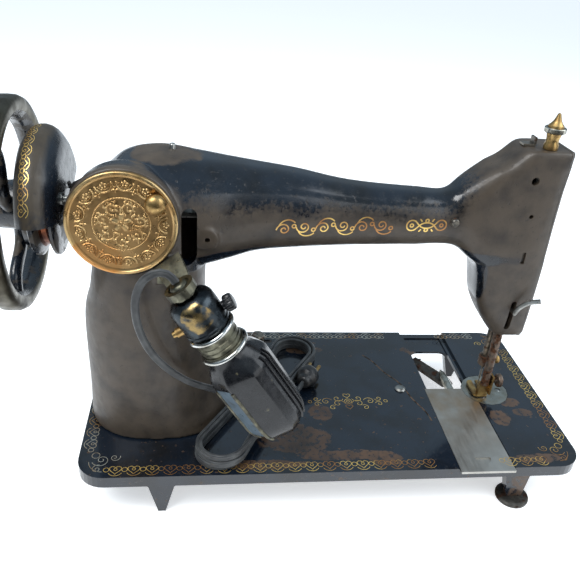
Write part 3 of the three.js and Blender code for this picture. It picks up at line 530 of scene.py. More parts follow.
def two_tone(name, base, other, lumps, gloss=None, bump=None, roughness=0.5, metallic=0.0, sockets=()):
    """Two tones in lumps (size, where the second starts and is full), with a finish and other settings."""
    shader = Shader(name, roughness, metallic)
    for socket, value in sockets:
        shader.shader.inputs[socket].default_value = value
    shader.color(speckled(shader, srgb(*base), srgb(*other), *lumps))
    return shader.finish(gloss, bump)


def gilt(name, base, worn_color):
    """Thin gold transfer, tarnished in places."""
    return two_tone(name, base, worn_color, (22.0, 0.42, 0.6), (3.0, 0.3, 0.7, 0.28, 0.5), None, 0.35, 0.8)


def lamp_enamel():
    """Gloss black with the edges rubbed to olive; the shade's pale flank is a separate skin of painted
    reflection.
    """
    shader = Shader("lamp_enamel", 0.2, 0.0, 0.1)
    shader.shader.inputs["Specular IOR Level"].default_value = 0.35
    worn = shader.ramp(shader.noise(7.0, 6.0), 0.68, 0.72)
    black = speckled(shader, srgb(14, 15, 18), srgb(26, 27, 30), 14.0)
    shader.color(shader.mix(worn, black, srgb(70, 66, 52)))
    return shader.finish((4.0, 0.3, 0.7, 0.14, 0.36), (2.0, 4.0, 0.06, 0.1))


def socket_shell():
    """Dark nickel worn through to brass on the side that is handled."""
    shader = Shader("socket_shell", 0.26, 1.0)
    handled = shader.blob(tuple(on_lamp(19, 1, 15)), (9, None, 9), 0.8)
    handled = shader.math("MULTIPLY", handled, shader.ramp(shader.noise(7.0, 6.0), 0.4, 0.56))
    nickel = speckled(shader, srgb(60, 66, 70), srgb(34, 37, 40), 9.0)
    shader.color(shader.mix(handled, nickel, srgb(136, 116, 78)))
    return shader.finish((5.0, 0.3, 0.7, 0.18, 0.4), (1.6, 4.0, 0.1, 0.1))


def floor_paint():
    shader = Shader("floor_paint", 0.75)
    shader.color(srgb(246, 246, 246))
    shader.shader.inputs["Emission Color"].default_value = (1.0, 1.0, 1.0, 1.0)
    shader.shader.inputs["Emission Strength"].default_value = 0.5
    return shader.material


PAINT = {
    "casting": casting_paint(),
    "bed": bed_paint(),
    "guard": guard_paint(),
    "wheel": wheel_paint(),
    "rim": metal("wheel_rim", (96, 92, 80), (50, 46, 38), 0.36, 18.0),
    # a lighter, shinier copy of the rim's metal on its outer edge: a painted highlight
    "rim_highlight": metal("wheel_rim_highlight", (170, 168, 152), (110, 104, 86), 0.25, 9.0),
    "groove": metal("belt_groove", (112, 66, 46), (66, 40, 30), 0.35, 9.0),
    "brass": metal("aged_brass", (180, 150, 98), (126, 98, 62), 0.34),
    "cover": old_brass(),
    "steel": metal("worn_steel", (158, 158, 154), (96, 94, 88), 0.32),
    "nickel": metal("worn_nickel", (176, 174, 164), (110, 102, 84), 0.22),
    "chrome": metal("bright_ring", (205, 206, 204), (150, 148, 140), 0.12),
    "socket": socket_shell(),
    "pewter": metal("worn_pewter", (118, 116, 100), (58, 57, 50), 0.36, 7.0, 0.4),
    "rusty": rusty("rusty_steel", (112, 96, 84), RUST, 0.6),
    "tarnished": rusty("tarnished_steel", (122, 116, 106), RUST, 0.3, 0.35),
    "plate": metal("plate_steel", (160, 160, 152), (124, 122, 112), 0.34, 10.0, 0.05),
    "iron": rusty("oily_iron", (62, 60, 56), srgb(70, 48, 36), 0.5, 0.5),
    "slide": slide_steel(),
    "gold": gilt("gold_transfer", (236, 200, 118), (172, 124, 76)),
    "silver": gilt("silver_transfer", (206, 204, 190), (182, 142, 92)),
    "scratch": rusty("bare_scratch", (112, 90, 74), BROWN, 0.6, 0.6),
    "shade": lamp_enamel(),
    "shade_edge": two_tone("lamp_edge", (104, 100, 80), (58, 56, 46), (6.0, 0.4, 0.6),
                           (3.0, 0.3, 0.7, 0.35, 0.6), (2.0, 4.0, 0.15, 0.1), 0.45, 0.3),
    # pale blue-grey skin on the shade's flank: a painted reflection on gloss black
    "shade_reflection": two_tone("lamp_painted_reflection", (88, 104, 116), (52, 60, 66), (9.0, 0.5, 0.75),
                            (3.0, 0.3, 0.7, 0.26, 0.5), (2.0, 4.0, 0.1, 0.1), 0.34, 0.2),
    "flex": two_tone("flex_rubber", (36, 38, 40), (64, 66, 66), (9.0, 0.42, 0.7),
                     (4.0, 0.3, 0.7, 0.38, 0.6), (1.2, 2.0, 0.12, 0.15), sockets=[("Sheen Weight", 0.15)]),
    "plug": two_tone("plug_black", (24, 24, 26), (44, 43, 42), (6.0,),
                     (3.0, 0.3, 0.7, 0.28, 0.5), (1.5, 4.0, 0.08, 0.1), 0.35),
    "fibre": two_tone("fibre_grey", (150, 150, 145), (96, 96, 92), (2.0,), None, (1.0, 5.0, 0.5, 0.3), 0.85),
    "glass": two_tone("frosted_glass", (226, 226, 220), (200, 200, 192), (9.0,), roughness=0.4,
                      sockets=[("Transmission Weight", 0.4)]),
    "floor": floor_paint(),
}

# ---- Camera ----

CAMERA_EYE = (98.15, 414.8, 335.2)
CAMERA_AIM = (33.2, -15.0, 88.1)
CAMERA_ROLL = 4.92  # degrees
CAMERA_LENS = 40.28
SENSOR_WIDTH = 36


def add_camera():
    data = bpy.data.cameras.new("camera")
    data.lens = CAMERA_LENS
    data.sensor_width = SENSOR_WIDTH
    camera = bpy.data.objects.new("camera", data)
    scene.collection.objects.link(camera)
    towards = at(*CAMERA_AIM) - at(*CAMERA_EYE)
    level = towards.to_track_quat("-Z", "Y")
    camera.rotation_mode = "QUATERNION"
    camera.rotation_quaternion = level @ Quaternion((0, 0, 1), math.radians(CAMERA_ROLL))
    camera.location = at(*CAMERA_EYE)
    scene.camera = camera


# ---- Flex: from the lamp down to a loose hank on the bed, and its plug ----

CORD_WIDTH, CORD_THICK = 5.0, 2.6
CORD_DOWN = [  # out of the collar, over, and down behind the lamp
    (115.4, 73, 142.9), (117.6, 73, 146.1), (121.2, 73.2, 149), (126.6, 73.2, 149.4), (132.4, 73, 146),
    (137, 72, 139.4), (139.9, 71, 128.5), (139.9, 70, 114.5), (136.8, 68, 99.5), (131, 65, 84.5),
    (120.7, 60.5, 68.4), (107.6, 56.5, 55.5), (94, 52, 46.5), (81, 47, 37.5), (70, 42, 27), (60, 37, 16.5),
]
CORD_LANDING = [(22, -12.5, 7.5), (12, -14.2, 4.0), (2, -14.4, 2.8), (-14, -14.7, 2.7), (-30, -15.5, 2.7)]
HANK_TURN = 0.503
HANK_MIDDLE = local_middle("cord_hank")
WAIST, WAIST_REACH = 3.6, 60
SIDE_STEPS, END_STEPS = 7, 12
CORD_STEP = 3.5
HANGS_ABOVE, HANG_FADE = 18, 40
LAYERS = (2.7, 7.9, 13.1)
HALF_TURNS = [  # which end, across before it, across after it, how far it reaches, layer before and after
    (-1, -18, 18, 84.5, 0, 0), (1, 18, -15, 84, 0, 0), (-1, -15, 15, 80.5, 0, 0), (1, 15, -18.2, 84, 0, 1),
    (-1, -18.2, 18, 84.5, 1, 1), (1, 18, -15, 83, 1, 1), (-1, -15, 15.2, 80, 1, 1),
    (1, 15.2, -17.4, 83, 1, 2),
]
CORD_TO_PLUG = [(54, -19.0, 12.4), (42, -19.8, 9.2), (29, -19.8, 5.0), (16, -19.8, 3.3), (4, -20.8, 4.4),
                (-10, -24.0, 7.8), (-18, -25.4, 9.4), (-24, -25.4, 9.5)]
PLUG_START = CORD_TO_PLUG[-1]
PRONG_SPREAD = 4


def on_hank(along, across, z):
    """A point on the hank from its middle: along it, across it, and above the bed."""
    c, s = math.cos(HANK_TURN), math.sin(HANK_TURN)
    return Vector((HANK_MIDDLE.x + along * s + across * c, HANK_MIDDLE.y + along * c - across * s, z))


def hank_points():
    """The looped part: straight sides joined by half circles."""
    points = []
    for i, (end, before, after, reach, layer, next_layer) in enumerate(HALF_TURNS):
        radius = abs(after - before) / 2
        middle = (after + before) / 2
        centre = end * (reach - radius)
        low, high = LAYERS[layer], LAYERS[next_layer]
        if i:
            previous = HALF_TURNS[i - 1]
            start = previous[0] * (previous[3] - abs(previous[2] - previous[1]) / 2)
            for step in range(1, SIDE_STEPS):
                along = start + (centre - start) * step / SIDE_STEPS
                narrower = WAIST * (1 - min(1.0, abs(along) / WAIST_REACH) ** 2)
                points.append(on_hank(along, before - math.copysign(narrower, before), low))
        for step in range(END_STEPS + 1):
            angle = math.pi * step / END_STEPS
            across = middle + (before - middle) * math.cos(angle)
            height = low + (high - low) * step / END_STEPS
            points.append(on_hank(centre + end * radius * math.sin(angle), across, height))
    return points


def cord_path():
    """The flex's middle line, in steps of about the same length."""
    route = [Vector(point) for point in CORD_DOWN] + [on_hank(*point) for point in CORD_LANDING]
    route += hank_points() + [on_hank(*point) for point in CORD_TO_PLUG]
    dense = [Vector(point) for point in smooth_rows([list(point) for point in route], 6)]
    even = [dense[0]]
    for point in dense:
        if (point - even[-1]).length > CORD_STEP:
            even.append(point)
    return even + [dense[-1]]


def twin_section():
    """Outline of the flat twin flex: two round cores side by side with a groove between."""
    core = CORD_THICK / 2
    half = [(core + core * math.cos(math.radians(a)), core * math.sin(math.radians(a)))
            for a in (-105, -75, -50, -25, 0, 25, 50, 75, 105)]
    return [(0, -0.6 * core)] + half + [(0, 0.6 * core)] + [(-across, up) for across, up in reversed(half)]


def flex_shape(path):
    """The flex shows its flat side to the rear where it hangs, and stands on its edge in the hank."""
    rings = []
    for i, point in enumerate(path):
        tangent = (path[min(i + 1, len(path) - 1)] - path[max(i - 1, 0)]).normalized()
        hanging = min(max((point.z - HANGS_ABOVE) / HANG_FADE, 0), 1)
        level = tangent.cross(UP)
        if level.dot(REAR) < 0 and hanging > 0:
            level = -level
        normal = REAR * hanging + level.normalized() * (1 - hanging)
        normal = (normal - tangent * normal.dot(tangent)).normalized()
        side = tangent.cross(normal)
        rings.append([point + side * across + normal * up for across, up in twin_section()])
    return loft_shape(rings)


def add_plug():
    """A round plug with a fibre disc and two round prongs, each with a collar."""
    along, across, z = PLUG_START
    start = on_hank(along, across, z)
    axis = (on_hank(along - 1, across, z) - start).normalized()
    body = lathe("plug_shell", start, axis, [
        (0, 3.9), (0.4, 4.6), (1.4, 5.6), (4, 6.1), (5.4, 6.6), (7, 8.4), (8.2, 9.1), (13.6, 9.1),
        (14.6, 8.7), (15, 8.2)], PAINT["plug"], 72)
    ride(body, "frame", "plug_black", "plug_body")
    disc = lathe("plug_fibre_disc", start + axis * 15.1, axis, [(0, 7.8), (1, 7.8), (1.2, 7.5)],
                 PAINT["fibre"], 72)
    ride(disc, "frame", "plug_black")
    shapes = []
    for side in (-PRONG_SPREAD, PRONG_SPREAD):
        foot = start + axis * 15.3 + axis.cross(UP) * side
        shapes.append(lathe_shape(foot, axis, [(0, 1.6), (12.6, 1.6), (13.6, 1.1), (14, 0.4)], 24))
        shapes.append(lathe_shape(foot + axis * 0.9, axis, [(0, 2.6), (0.7, 2.6)], 24))
    prongs = mesh_object("plug_prong_pair", *combined(shapes), PAINT["brass"])
    ride(prongs, "frame", "brass", "plug_prongs")
    return [body, disc, prongs]


def add_cord():
    path = cord_path()
    metres = [at(*point) for point in path]
    length = sum((b - a).length for a, b in zip(metres, metres[1:]))
    cord = mesh_object("lamp_flex", *flex_shape(path), PAINT["flex"], 60)
    ride(cord, "frame", "cord_rubber", "cord_tube", "cord_hank", "cord_plug_lead")
    at(*CORD_DOWN[0])
    add_plug()


# ---- Pillar, arm and head ----

PILLAR = [  # height, side towards the needle, side towards the hand wheel, half depth
    (0.3, 78, 183.6, 53), (8, 83, 183, 52), (30, 91, 182.5, 50), (84, 97, 182.5, 48.5), (107, 98, 177.5, 48),
    (145, 97, 172, 46), (165, 96, 171, 43), (183, 101, 163, 35), (197, 113, 149, 20),
]
ARM = [  # distance along the bed, underside, top, half depth
    (-112, 139, 179, 15), (-48, 139, 180, 18.2), (0, 137.5, 183.3, 20), (36, 135.5, 190, 23.5),
    (63, 133, 193.7, 27), (83, 127, 196.4, 31), (105, 122, 199.4, 37), (128, 122, 202, 40),
    (150, 130, 197.7, 38), (165, 137, 186, 30), (184, 143.5, 175.6, 16),
]
HEAD = [  # height, side towards the pillar, half depth
    (66, -125, 14), (71, -121, 17), (83, -112.5, 18.8), (98, -105, 19.6), (118, -100.5, 20), (128, -96, 20),
    (137, -84, 20), (160, -72, 19.6), (181, -73, 19), (195, -89, 18.5), (203, -103, 18.5), (212, -113, 18),
    (214, -117, 16.5),
]
HEAD_BACK = -152.0
PAD = (97, 20, 153.5)
CASTING_VOXEL, HOLLOW_VOXEL = 1.1, 2.5


def pillar_shape(inset, sides):
    """The pillar's loft, drawn in by inset for the hollow."""
    rings = []
    rows = smooth_rows(PILLAR, 6)
    for i, (z, inner, outer, depth) in enumerate(rows):
        height = z - inset if i in (0, len(rows) - 1) else z
        rings.append(superellipse(
            (inner + outer) / 2, 0, (outer - inner) / 2 - inset, depth - inset, 2.5, sides,
            lambda u, v, height=height: Vector((u, v, height))))
    return loft_shape(rings)


def arm_shape(inset, sides, last=None):
    rows = smooth_rows(ARM[:last], 6)
    return loft_shape([superellipse(0, (low + high) / 2, depth - inset, (high - low) / 2 - inset, 2.3, sides,
                                    lambda u, v, x=x: Vector((x, u, v))) for x, low, high, depth in rows])


def head_shape(inset, sides):
    rings = []
    rows = smooth_rows(HEAD, 5)
    for i, (z, inner, depth) in enumerate(rows):
        height = z + inset * ((i == 0) - (i == len(rows) - 1))
        side = inner - inset
        rings.append(superellipse((side + HEAD_BACK) / 2, 0, (side - HEAD_BACK) / 2, depth - inset, 4, sides,
                                  lambda u, v, height=height: Vector((u, v, height))))
    return loft_shape(rings)


def rod_shape(start, end, radius, sides=40):
    start, end = Vector(start), Vector(end)
    return lathe_shape(start, end - start, [(0, radius), ((end - start).length, radius)], sides)


def at_cover(radius, y0, y1, sides=96):
    """A rod on the axis of the rear opening."""
    return rod_shape((COVER.x, y0, COVER.z), (COVER.x, y1, COVER.z), radius, sides)


def rounded_slot(x, z, width, height, y0, y1, steps=8):
    """A slot with round ends, standing up, cut from y0 to y1."""
    radius = min(width, height) / 2
    outline = []
    for top in (1, -1):
        for step in range(steps + 1):
            angle = math.pi * step / steps + (0 if top == 1 else math.pi)
            outline.append((x + radius * math.cos(angle),
                            z + top * (height / 2 - radius) + radius * math.sin(angle)))
    return loft_shape([[Vector((u, y, v)) for u, v in outline] for y in (y0, y1)])


def soften(obj, middle, reach, rounds):
    """Rubs the corner where the arm meets the head into a soft hollow."""
    group = obj.vertex_groups.new(name="soften")
    for vertex in obj.data.vertices:
        x = (vertex.co.x - BED.x) / MM
        weight = 1 - abs(x - middle) / reach
        if weight > 0:
            group.add([vertex.index], min(1.0, 1.6 * weight), "REPLACE")
    relax = obj.modifiers.new("soften", "SMOOTH")
    relax.factor = 0.9
    relax.iterations = rounds
    relax.vertex_group = group.name
    return baked(obj)


def casting_cuts():
    """Shapes cut from the casting: its flat face, the rear opening, bores, slots and screw holes."""
    def rear_hole(x, z, radius, y0, y1):
        return rod_shape((x, y0, z), (x, y1, z), radius)

    def bar_bore(y, z0, z1, radius):
        return rod_shape((BAR_X, y, z0), (BAR_X, y, z1), radius)

    return [
        box_shape(HEAD_BACK - 10, FACE, -40, 40, 40, 240),
        box_shape(HEAD_BACK - 10, -115, -40, 40, 50, HEAD[0][0] + 0.8),
        at_cover(FLANGE_RADIUS + 1, COVER_LOW.y - 0.3, 60),
        at_cover(28, 10, 60),
        rod_shape((80, 0, SHAFT), (200, 0, SHAFT), 6.3),
        rounded_slot(108.5, 155.5, 10, 39, 20, 60),
        rear_hole(PAD[0], PAD[2], 1.7, 30, 60),
        rounded_slot(BAR_X, 87, 4, 26, 10, 30),
        rounded_slot(-119.4, 184, 4.6, 32, -30, -8),
        rear_hole(-123, 194, 2.8, 10, 30),
        rear_hole(-126.5, 168.5, 1.6, 10, 30),
        bar_bore(NEEDLE_Y, 55, 85, 3.6),
        bar_bore(PRESSER_Y, 55, 85, 3.9),
        bar_bore(PRESSER_Y, 200, 230, 4.3),
        rear_hole(-127, 112, 2.6, -30, -10),
        box_shape(-130.2, -127.4, 18, 24, 132, 141),
    ]


def add_casting():
    """Lofts joined by a fine voxel skin, so that the pillar, arm and head flow into each other."""
    drum = lathe_shape((COVER.x, 6, COVER.z), REAR, [
        (0, 26), (18, 32.5), (30, FLANGE_RADIUS - 1.5), (34, FLANGE_RADIUS),
        (COVER_LOW.y - 6.6, FLANGE_RADIUS)], 128)
    boss = rod_shape((160, 0, SHAFT), (186, 0, SHAFT), 16, 64)
    lamp_boss = box_shape(112, 130, 40, 48.6, 128, 146)
    pad = rod_shape(PAD, (PAD[0], 36.4, PAD[2]), 7.5)
    outer = combined([pillar_shape(0, 120), arm_shape(0, 96), head_shape(0, 96), drum, boss, lamp_boss, pad])
    casting = remesh(mesh_object("casting_skin", *outer), CASTING_VOXEL, 6)
    soften(casting, -74, 24, 160)
    inner = combined([pillar_shape(WALL + 1, 48), arm_shape(WALL, 48, 9), head_shape(WALL, 48)])
    cut_out(casting, remesh(mesh_object("hollow", *inner), HOLLOW_VOXEL))
    subtract(casting, casting_cuts())
    smooth(casting.data, 50)
    casting.data.materials.clear()
    casting.data.materials.append(PAINT["casting"])
    ride(casting, "frame", "japan_black", "arm_casting")
    return casting


# ---- Rear cover ----

def arc_points(u, v, radius, start, end, steps):
    """Points on an arc about (u, v) from one bearing to another, in degrees."""
    angles = [math.radians(start + (end - start) * i / steps) for i in range(steps + 1)]
    return [(u + radius * math.cos(angle), v + radius * math.sin(angle)) for angle in angles]


def spiral(u, v, start, turns, big, small, steps=28):
    """A scroll that winds in from its outer end."""
    points = []
    for i in range(steps + 1):
        t = i / steps
        radius = big * (small / big) ** t
        angle = math.radians(start) + 2 * math.pi * turns * t
        points.append((u + radius * math.cos(angle), v + radius * math.sin(angle)))
    return points


def polar(radius, degrees, u=0.0, v=0.0):
    """A point at a distance and a bearing from (u, v)."""
    return (u + radius * math.cos(math.radians(degrees)), v + radius * math.sin(math.radians(degrees)))


def cover_relief():
    """Raised lines as (points, width): scallops with flowers, stars, a ring, a flower among leaf scrolls."""
    lines = [(arc_points(0, 0, 17.2, 0, 360, 120), 0.55)]
    scallops = 13
    for i in range(scallops):
        turn = 360 * i / scallops
        u, v = polar(27.2, turn)
        lines.append((arc_points(u, v, 5.1, turn + 95, turn + 265, 20), 0.62))
        lines.append((arc_points(u, v, 3.5, turn + 105, turn + 255, 14), 0.4))
        for petal in range(5):
            lines.append(([polar(1.5, turn + 72 * petal, *polar(26.2, turn))], 0.85))
        star = polar(22.6, turn + 180 / scallops)
        for ray in range(4):
            bearing = turn + 180 / scallops + 90 * ray
            lines.append(([polar(reach, bearing, *star) for reach in (0, 0.8, 1.6)], 0.5))
    for petal in range(5):
        turn = 90 + 72 * petal
        lines.append(([polar(reach, turn, 0, 1) for reach in (2.6, 3.6, 4.6)], 1.9))
    lines.append(([(0, 1)], 1.2))
    for i in range(7):
        turn = 90 + 360 * (i + 0.5) / 7
        u, v = polar(11.6, turn)
        wind = 1 if i % 2 else -1
        scroll = spiral(u, v, turn + 180, 1.25 * wind, 4.9, 1.0)
        lines.append((scroll, 0.75))
        for leaf in range(1, 20, 3):
            x, y = scroll[leaf]
            outward = math.degrees(math.atan2(y - v, x - u))
            lines.append(([polar(reach, outward + 30 * wind, x, y) for reach in (0.3, 1.0, 1.7)], 0.8))
        lines.append(([polar(reach, turn + 25 * wind) for reach in (8.4, 9.4, 10.4)], 1.0))
        lines.append(([polar(15.6, turn + shift) for shift in (-14, -7, 0, 7, 14)], 0.6))
    return lines


def add_cover():
    """A dished brass disc with a raised plain rim and a cast pattern in low relief."""
    samples = [(u, v, width) for points, width in cover_relief() for u, v in points]
    tree = KDTree(len(samples))
    for i, (u, v, _) in enumerate(samples):
        tree.insert((u, v, 0), i)
    tree.balance()

    def height(radius, angle):
        if radius > COVER_RADIUS - 1.9:
            return 3.0 - 0.5 * max(0, radius - COVER_RADIUS + 1) ** 2
        u, v = radius * math.cos(angle), radius * math.sin(angle)
        lift = 0.0
        for _, index, distance in tree.find_range((u, v, 0), 2.2):
            near = 1 - distance / samples[index][2]
            if near > 0:
                lift = max(lift, min(1.0, 1.6 * near))
        shoulder = max(0.0, (radius - COVER_RADIUS + 3.2)) * 1.1
        return 1.75 + 0.8 * lift + shoulder * 0.5

    rings, sides = 150, 480
    middle = Vector((COVER.x, COVER_LOW.y, COVER.z))
    angles = [2 * math.pi * i / sides for i in range(sides)]
    rows = []
    for row in range(rings + 1):
        radius = COVER_RADIUS * max(row / rings, 0.003)
        rows.append([
            middle + Vector((-radius * math.cos(angle), height(radius, angle), radius * math.sin(angle)))
            for angle in angles])
    rows.append([Vector((point.x, COVER_LOW.y, point.z)) for point in rows[-1]])
    cover = mesh_object("rear_cover_relief", *loft_shape(rows), PAINT["cover"], 50)
    ride(cover, "rear_cover", "brass", "rear_cover")
    screw = lathe("rear_cover_knob", (THUMB.x, THUMB_START, THUMB.z), REAR, [
        (0, 2), (22.9, 2), (23, 6.0), (23.6, 6.4), (25.4, 6.4), (27, 6.0), (28.4, 5.0), (29.3, 3.6),
        (29.8, 1.8), (29.9, 0.2)], PAINT["brass"], 72)
    ride(screw, "rear_cover_screw", "brass", "rear_cover_thumb_screw")


# ---- Belt guard and hand wheel ----

GUARD_PROFILE = [  # along the shaft from the guard's inner end, and radius
    (4.5, 35), (5, 39.5), (6.6, 43.6), (9, 47.2), (11.6, 50), (14.4, 51.8), (17.4, 52.6), (20.4, 52.4),
    (23, 51.3), (25.5, 49.8), (27.5, 47),
]
GUARD_FROM, GUARD_TO = 6, 158  # degrees about the shaft
GUARD_STEPS = 76
GUARD_BORE, GUARD_WALL = 16.6, 2.6


def guard_radius(along):
    for (a, low), (b, high) in zip(GUARD_PROFILE, GUARD_PROFILE[1:]):
        if a <= along <= b:
            return low + (high - low) * (along - a) / (b - a)
    return GUARD_PROFILE[-1][1]


def on_guard(along, degrees, lift=0.0):
    radius = guard_radius(along) + lift
    angle = math.radians(degrees)
    return Vector((GUARD_INNER + along, radius * math.cos(angle), SHAFT + radius * math.sin(angle)))


def add_guard():
    """A barrel-shaped shell over part of the wheel's hub, with a plate towards the pillar."""
    shell = [(along, 0.0) for along, _ in GUARD_PROFILE]
    shell += [(along, -GUARD_WALL) for along, _ in reversed(GUARD_PROFILE[3:])]
    rings = []
    for step in range(GUARD_STEPS + 1):
        degrees = GUARD_FROM + (GUARD_TO - GUARD_FROM) * step / GUARD_STEPS
        angle = math.radians(degrees)
        ring = [on_guard(along, degrees, lift) for along, lift in shell]
        for along in (7.6, GUARD_PROFILE[0][0]):
            ring.append(Vector((GUARD_INNER + along, GUARD_BORE * math.cos(angle),
                                SHAFT + GUARD_BORE * math.sin(angle))))
        rings.append(ring)
    guard = mesh_object("belt_guard_barrel", *loft_shape(rings), PAINT["guard"], 40)
    ride(guard, "frame", "worn_japan", "belt_guard")


RIM_START = WHEEL_START + 24.7
HUB_START = 190
SPOKE_TURNS = (0.4, 2.5, 4.6)
KNURL = 0.35


def wheel_rings():
    """The rim, a painted highlight along its outer edge and its black lining: name, profile, finish, slot and
    CAD nodes.
    """
    return [
        ("hand_wheel_rim", [
            (0, 62), (0.2, 66.4), (1.4, 68.6), (4, 69.8), (8, 70), (12, 69.8), (14.6, 68.6), (16, 66),
            (16.2, 61), (14, 57.4), (10, 55.8), (7, 55.8), (3.6, 57.6), (1, 60.4)], "rim", "japan_black",
            ["hand_wheel"]),
        ("hand_wheel_painted_highlight", [
            (15.4, 66.6), (16.3, 66.4), (16.6, 64.6), (16.3, 62.6), (15.6, 62.4)], "rim_highlight", "nickel", []),
        ("hand_wheel_black_lining", [
            (1.2, 60.2), (3.4, 57.4), (7, 55.6), (10, 55.6), (14.2, 57.2), (16, 60.8), (12, 62), (4, 62)],
         "wheel", "japan_black", []),
    ]


def spoke_shape(turn):
    """One S-shaped spoke; its rows are (swing about the shaft, radius)."""
    bend = smooth_rows([(0, 14), (0.12, 26), (0.5, 38), (0.62, 48), (0.55, 59)], 5)
    points = [(RIM_START + 7.3, radius * math.cos(turn + swing), SHAFT + radius * math.sin(turn + swing))
              for swing, radius in bend]
    return tube_shape(points, 4.0, 20, 1.35, up=ALONG_SHAFT)


def add_wheel():
    for name, profile, finish, slot, nodes in wheel_rings():
        shape = ring_shape((RIM_START, 0, SHAFT), ALONG_SHAFT, profile)
        ride(mesh_object(name, *shape, PAINT[finish], 50), "hand_wheel_set", slot, *nodes)
    hub_start = (HUB_START, 0, SHAFT)
    hub = lathe_shape(hub_start, ALONG_SHAFT, [
        (0, 13), (3, 14), (3.2, 31.5), (3.8, 32.3), (5.4, 32.5), (6.4, 31), (8, 27)], 128)
    flange = lathe_shape(hub_start, ALONG_SHAFT, [
        (13.2, 27), (14.6, 31.6), (15.4, 33), (18, 33), (18.8, 32), (19.4, 29), (23, 28), (24.6, 20),
        (25.6, 17), (41, 15.6), (43.6, 15), (45, 13.5)], 128)
    spokes = [spoke_shape(turn) for turn in SPOKE_TURNS]
    spider = mesh_object("hand_wheel_spider", *combined(spokes + [hub, flange]), PAINT["wheel"], 40)
    ride(spider, "hand_wheel_set", "japan_black")
    groove = lathe("hand_wheel_belt_groove", hub_start, ALONG_SHAFT,
                   [(7.6, 27.4), (9, 25.6), (12, 25.6), (13.6, 27.6)], PAINT["groove"], 128)
    ride(groove, "hand_wheel_set", "japan_black")


def add_stop_motion_knob():
    rows = [(0, 12, 0), (0.8, 13.2, 0), (1.6, 13.5, KNURL), (7.4, 13.5, KNURL), (8.4, 13.0, 0), (10, 12, 0),
            (11, 9.6, 0), (11.5, 6.6, 0)]
    shape = ribbed_shape((RIM_START + 20.6, 0, SHAFT), ALONG_SHAFT, rows, 192, lambda i: i % 4 < 2)
    screw = mesh_object("stop_motion_knob", *shape, PAINT["nickel"], 30)
    ride(screw, "stop_motion", "nickel", "stop_motion_screw")


# ---- Work lamp ----

SHADE_SECTION = [  # corners of the shade across its axis: side, rear
    (-21.2, 1), (-19.5, 9.5), (-8.5, 19.6), (11, 20.4), (17, 15.5), (21, 7), (21.2, -8), (15, -18),
    (0, -20.4), (-15, -18), (-21.2, -8),
]
SHADE_ENDS = (53.5, 132.0)
TAIL_START = 110
FITTER_RADIUS = 15
SHADE_SIDES = 144


def shade_reach(angle):
    """Distance from the lamp's axis to the shade's outline in one direction."""
    direction = Vector((math.cos(angle), math.sin(angle)))
    for i, corner in enumerate(SHADE_SECTION):
        a, b = Vector(corner), Vector(SHADE_SECTION[(i + 1) % len(SHADE_SECTION)])
        edge = b - a
        cross = direction.x * edge.y - direction.y * edge.x
        if abs(cross) < 1e-9:
            continue
        reach = (a.x * edge.y - a.y * edge.x) / cross
        share = (a.x * direction.y - a.y * direction.x) / cross
        if reach > 0 and -1e-6 <= share <= 1 + 1e-6:
            return reach
    return 20.0


def shade_radius(down, angle):
    """Round at the fitter, faceted along the body, and drawn in to a rounded end."""
    body = min(max((down - SHADE_ENDS[0]) / 16.5, 0), 1)
    body = body * body * (3 - 2 * body)
    full = FITTER_RADIUS + (shade_reach(angle) - FITTER_RADIUS) * body
    tail = max(0.0, (down - TAIL_START) / (SHADE_ENDS[1] - TAIL_START))
    return full * math.sqrt(max(0.0, 1 - tail ** 2.4)) if tail else full


def on_shade(down, angle, lift=0.0):
    radius = shade_radius(down, angle) + lift
    return on_lamp(down, radius * math.cos(angle), radius * math.sin(angle))


def shade_ring(down, lift=0.0):
    return [on_shade(down, 2 * math.pi * i / SHADE_SIDES, lift) for i in range(SHADE_SIDES)]


def add_shade():
    """A thin shell with facets, closed and rounded at its end, and open on the side away from the rear."""
    rounded = [TAIL_START + 21.9 * math.sin(math.pi / 2 * i / 16) for i in range(17)]
    outside = [SHADE_ENDS[0] + 1.4 * i for i in range(41)] + rounded
    inside = [55 + 4 * i for i in range(19)]
    rings = [shade_ring(down) for down in outside] + [shade_ring(down, -1.4) for down in reversed(inside)]
    shade = mesh_object("lamp_shade_shell", *loft_shape(rings), PAINT["shade"], 24)
    corners = ((78, -11), (118, -11), (118, 11), (78, 11))
    window = [on_lamp(down, side, rear) for rear in (-40, -9) for down, side in corners]
    faces = [(0, 1, 2, 3), (4, 7, 6, 5), (0, 4, 5, 1), (1, 5, 6, 2), (2, 6, 7, 3), (3, 7, 4, 0)]
    subtract(shade, [(window, faces)])
    smooth(shade.data, 24)
    ride(shade, "lamp_shade", "lamp_black", "lamp_shade")


def add_shade_painted_reflection():
    """A pale blue-grey skin just above one flank of the shade: a painted reflection on its gloss black."""
    columns = 24
    rows = [[on_shade(72 + 2 * i, math.radians(degrees), 0.12) for i in range(columns)]
            for degrees in (116, 122, 130, 138, 146, 151)]
    points = [point for row in rows for point in row]
    corners = [row * columns + column for row in range(len(rows) - 1) for column in range(columns - 1)]
    faces = [(a, a + 1, a + columns + 1, a + columns) for a in corners]
    flank = mesh_object("lamp_shade_painted_reflection", points, faces, PAINT["shade_reflection"], 60)
    ride(flank, "lamp_shade", "lamp_black")


def add_shade_bars(name, bearings, start, steps, lift, radius, flat, finish):
    """Bars along the shade at some bearings, in degrees about its axis."""
    bars = []
    for degrees in bearings:
        angle = math.radians(degrees)
        path = [on_shade(start + 2 * i, angle, lift) for i in range(steps)]
        bars.append(tube_shape(path, radius, 10, flat, up=on_shade(90, angle) - on_lamp(90)))
    ride(mesh_object(name, *combined(bars), PAINT[finish], 50), "lamp_shade", "lamp_black")


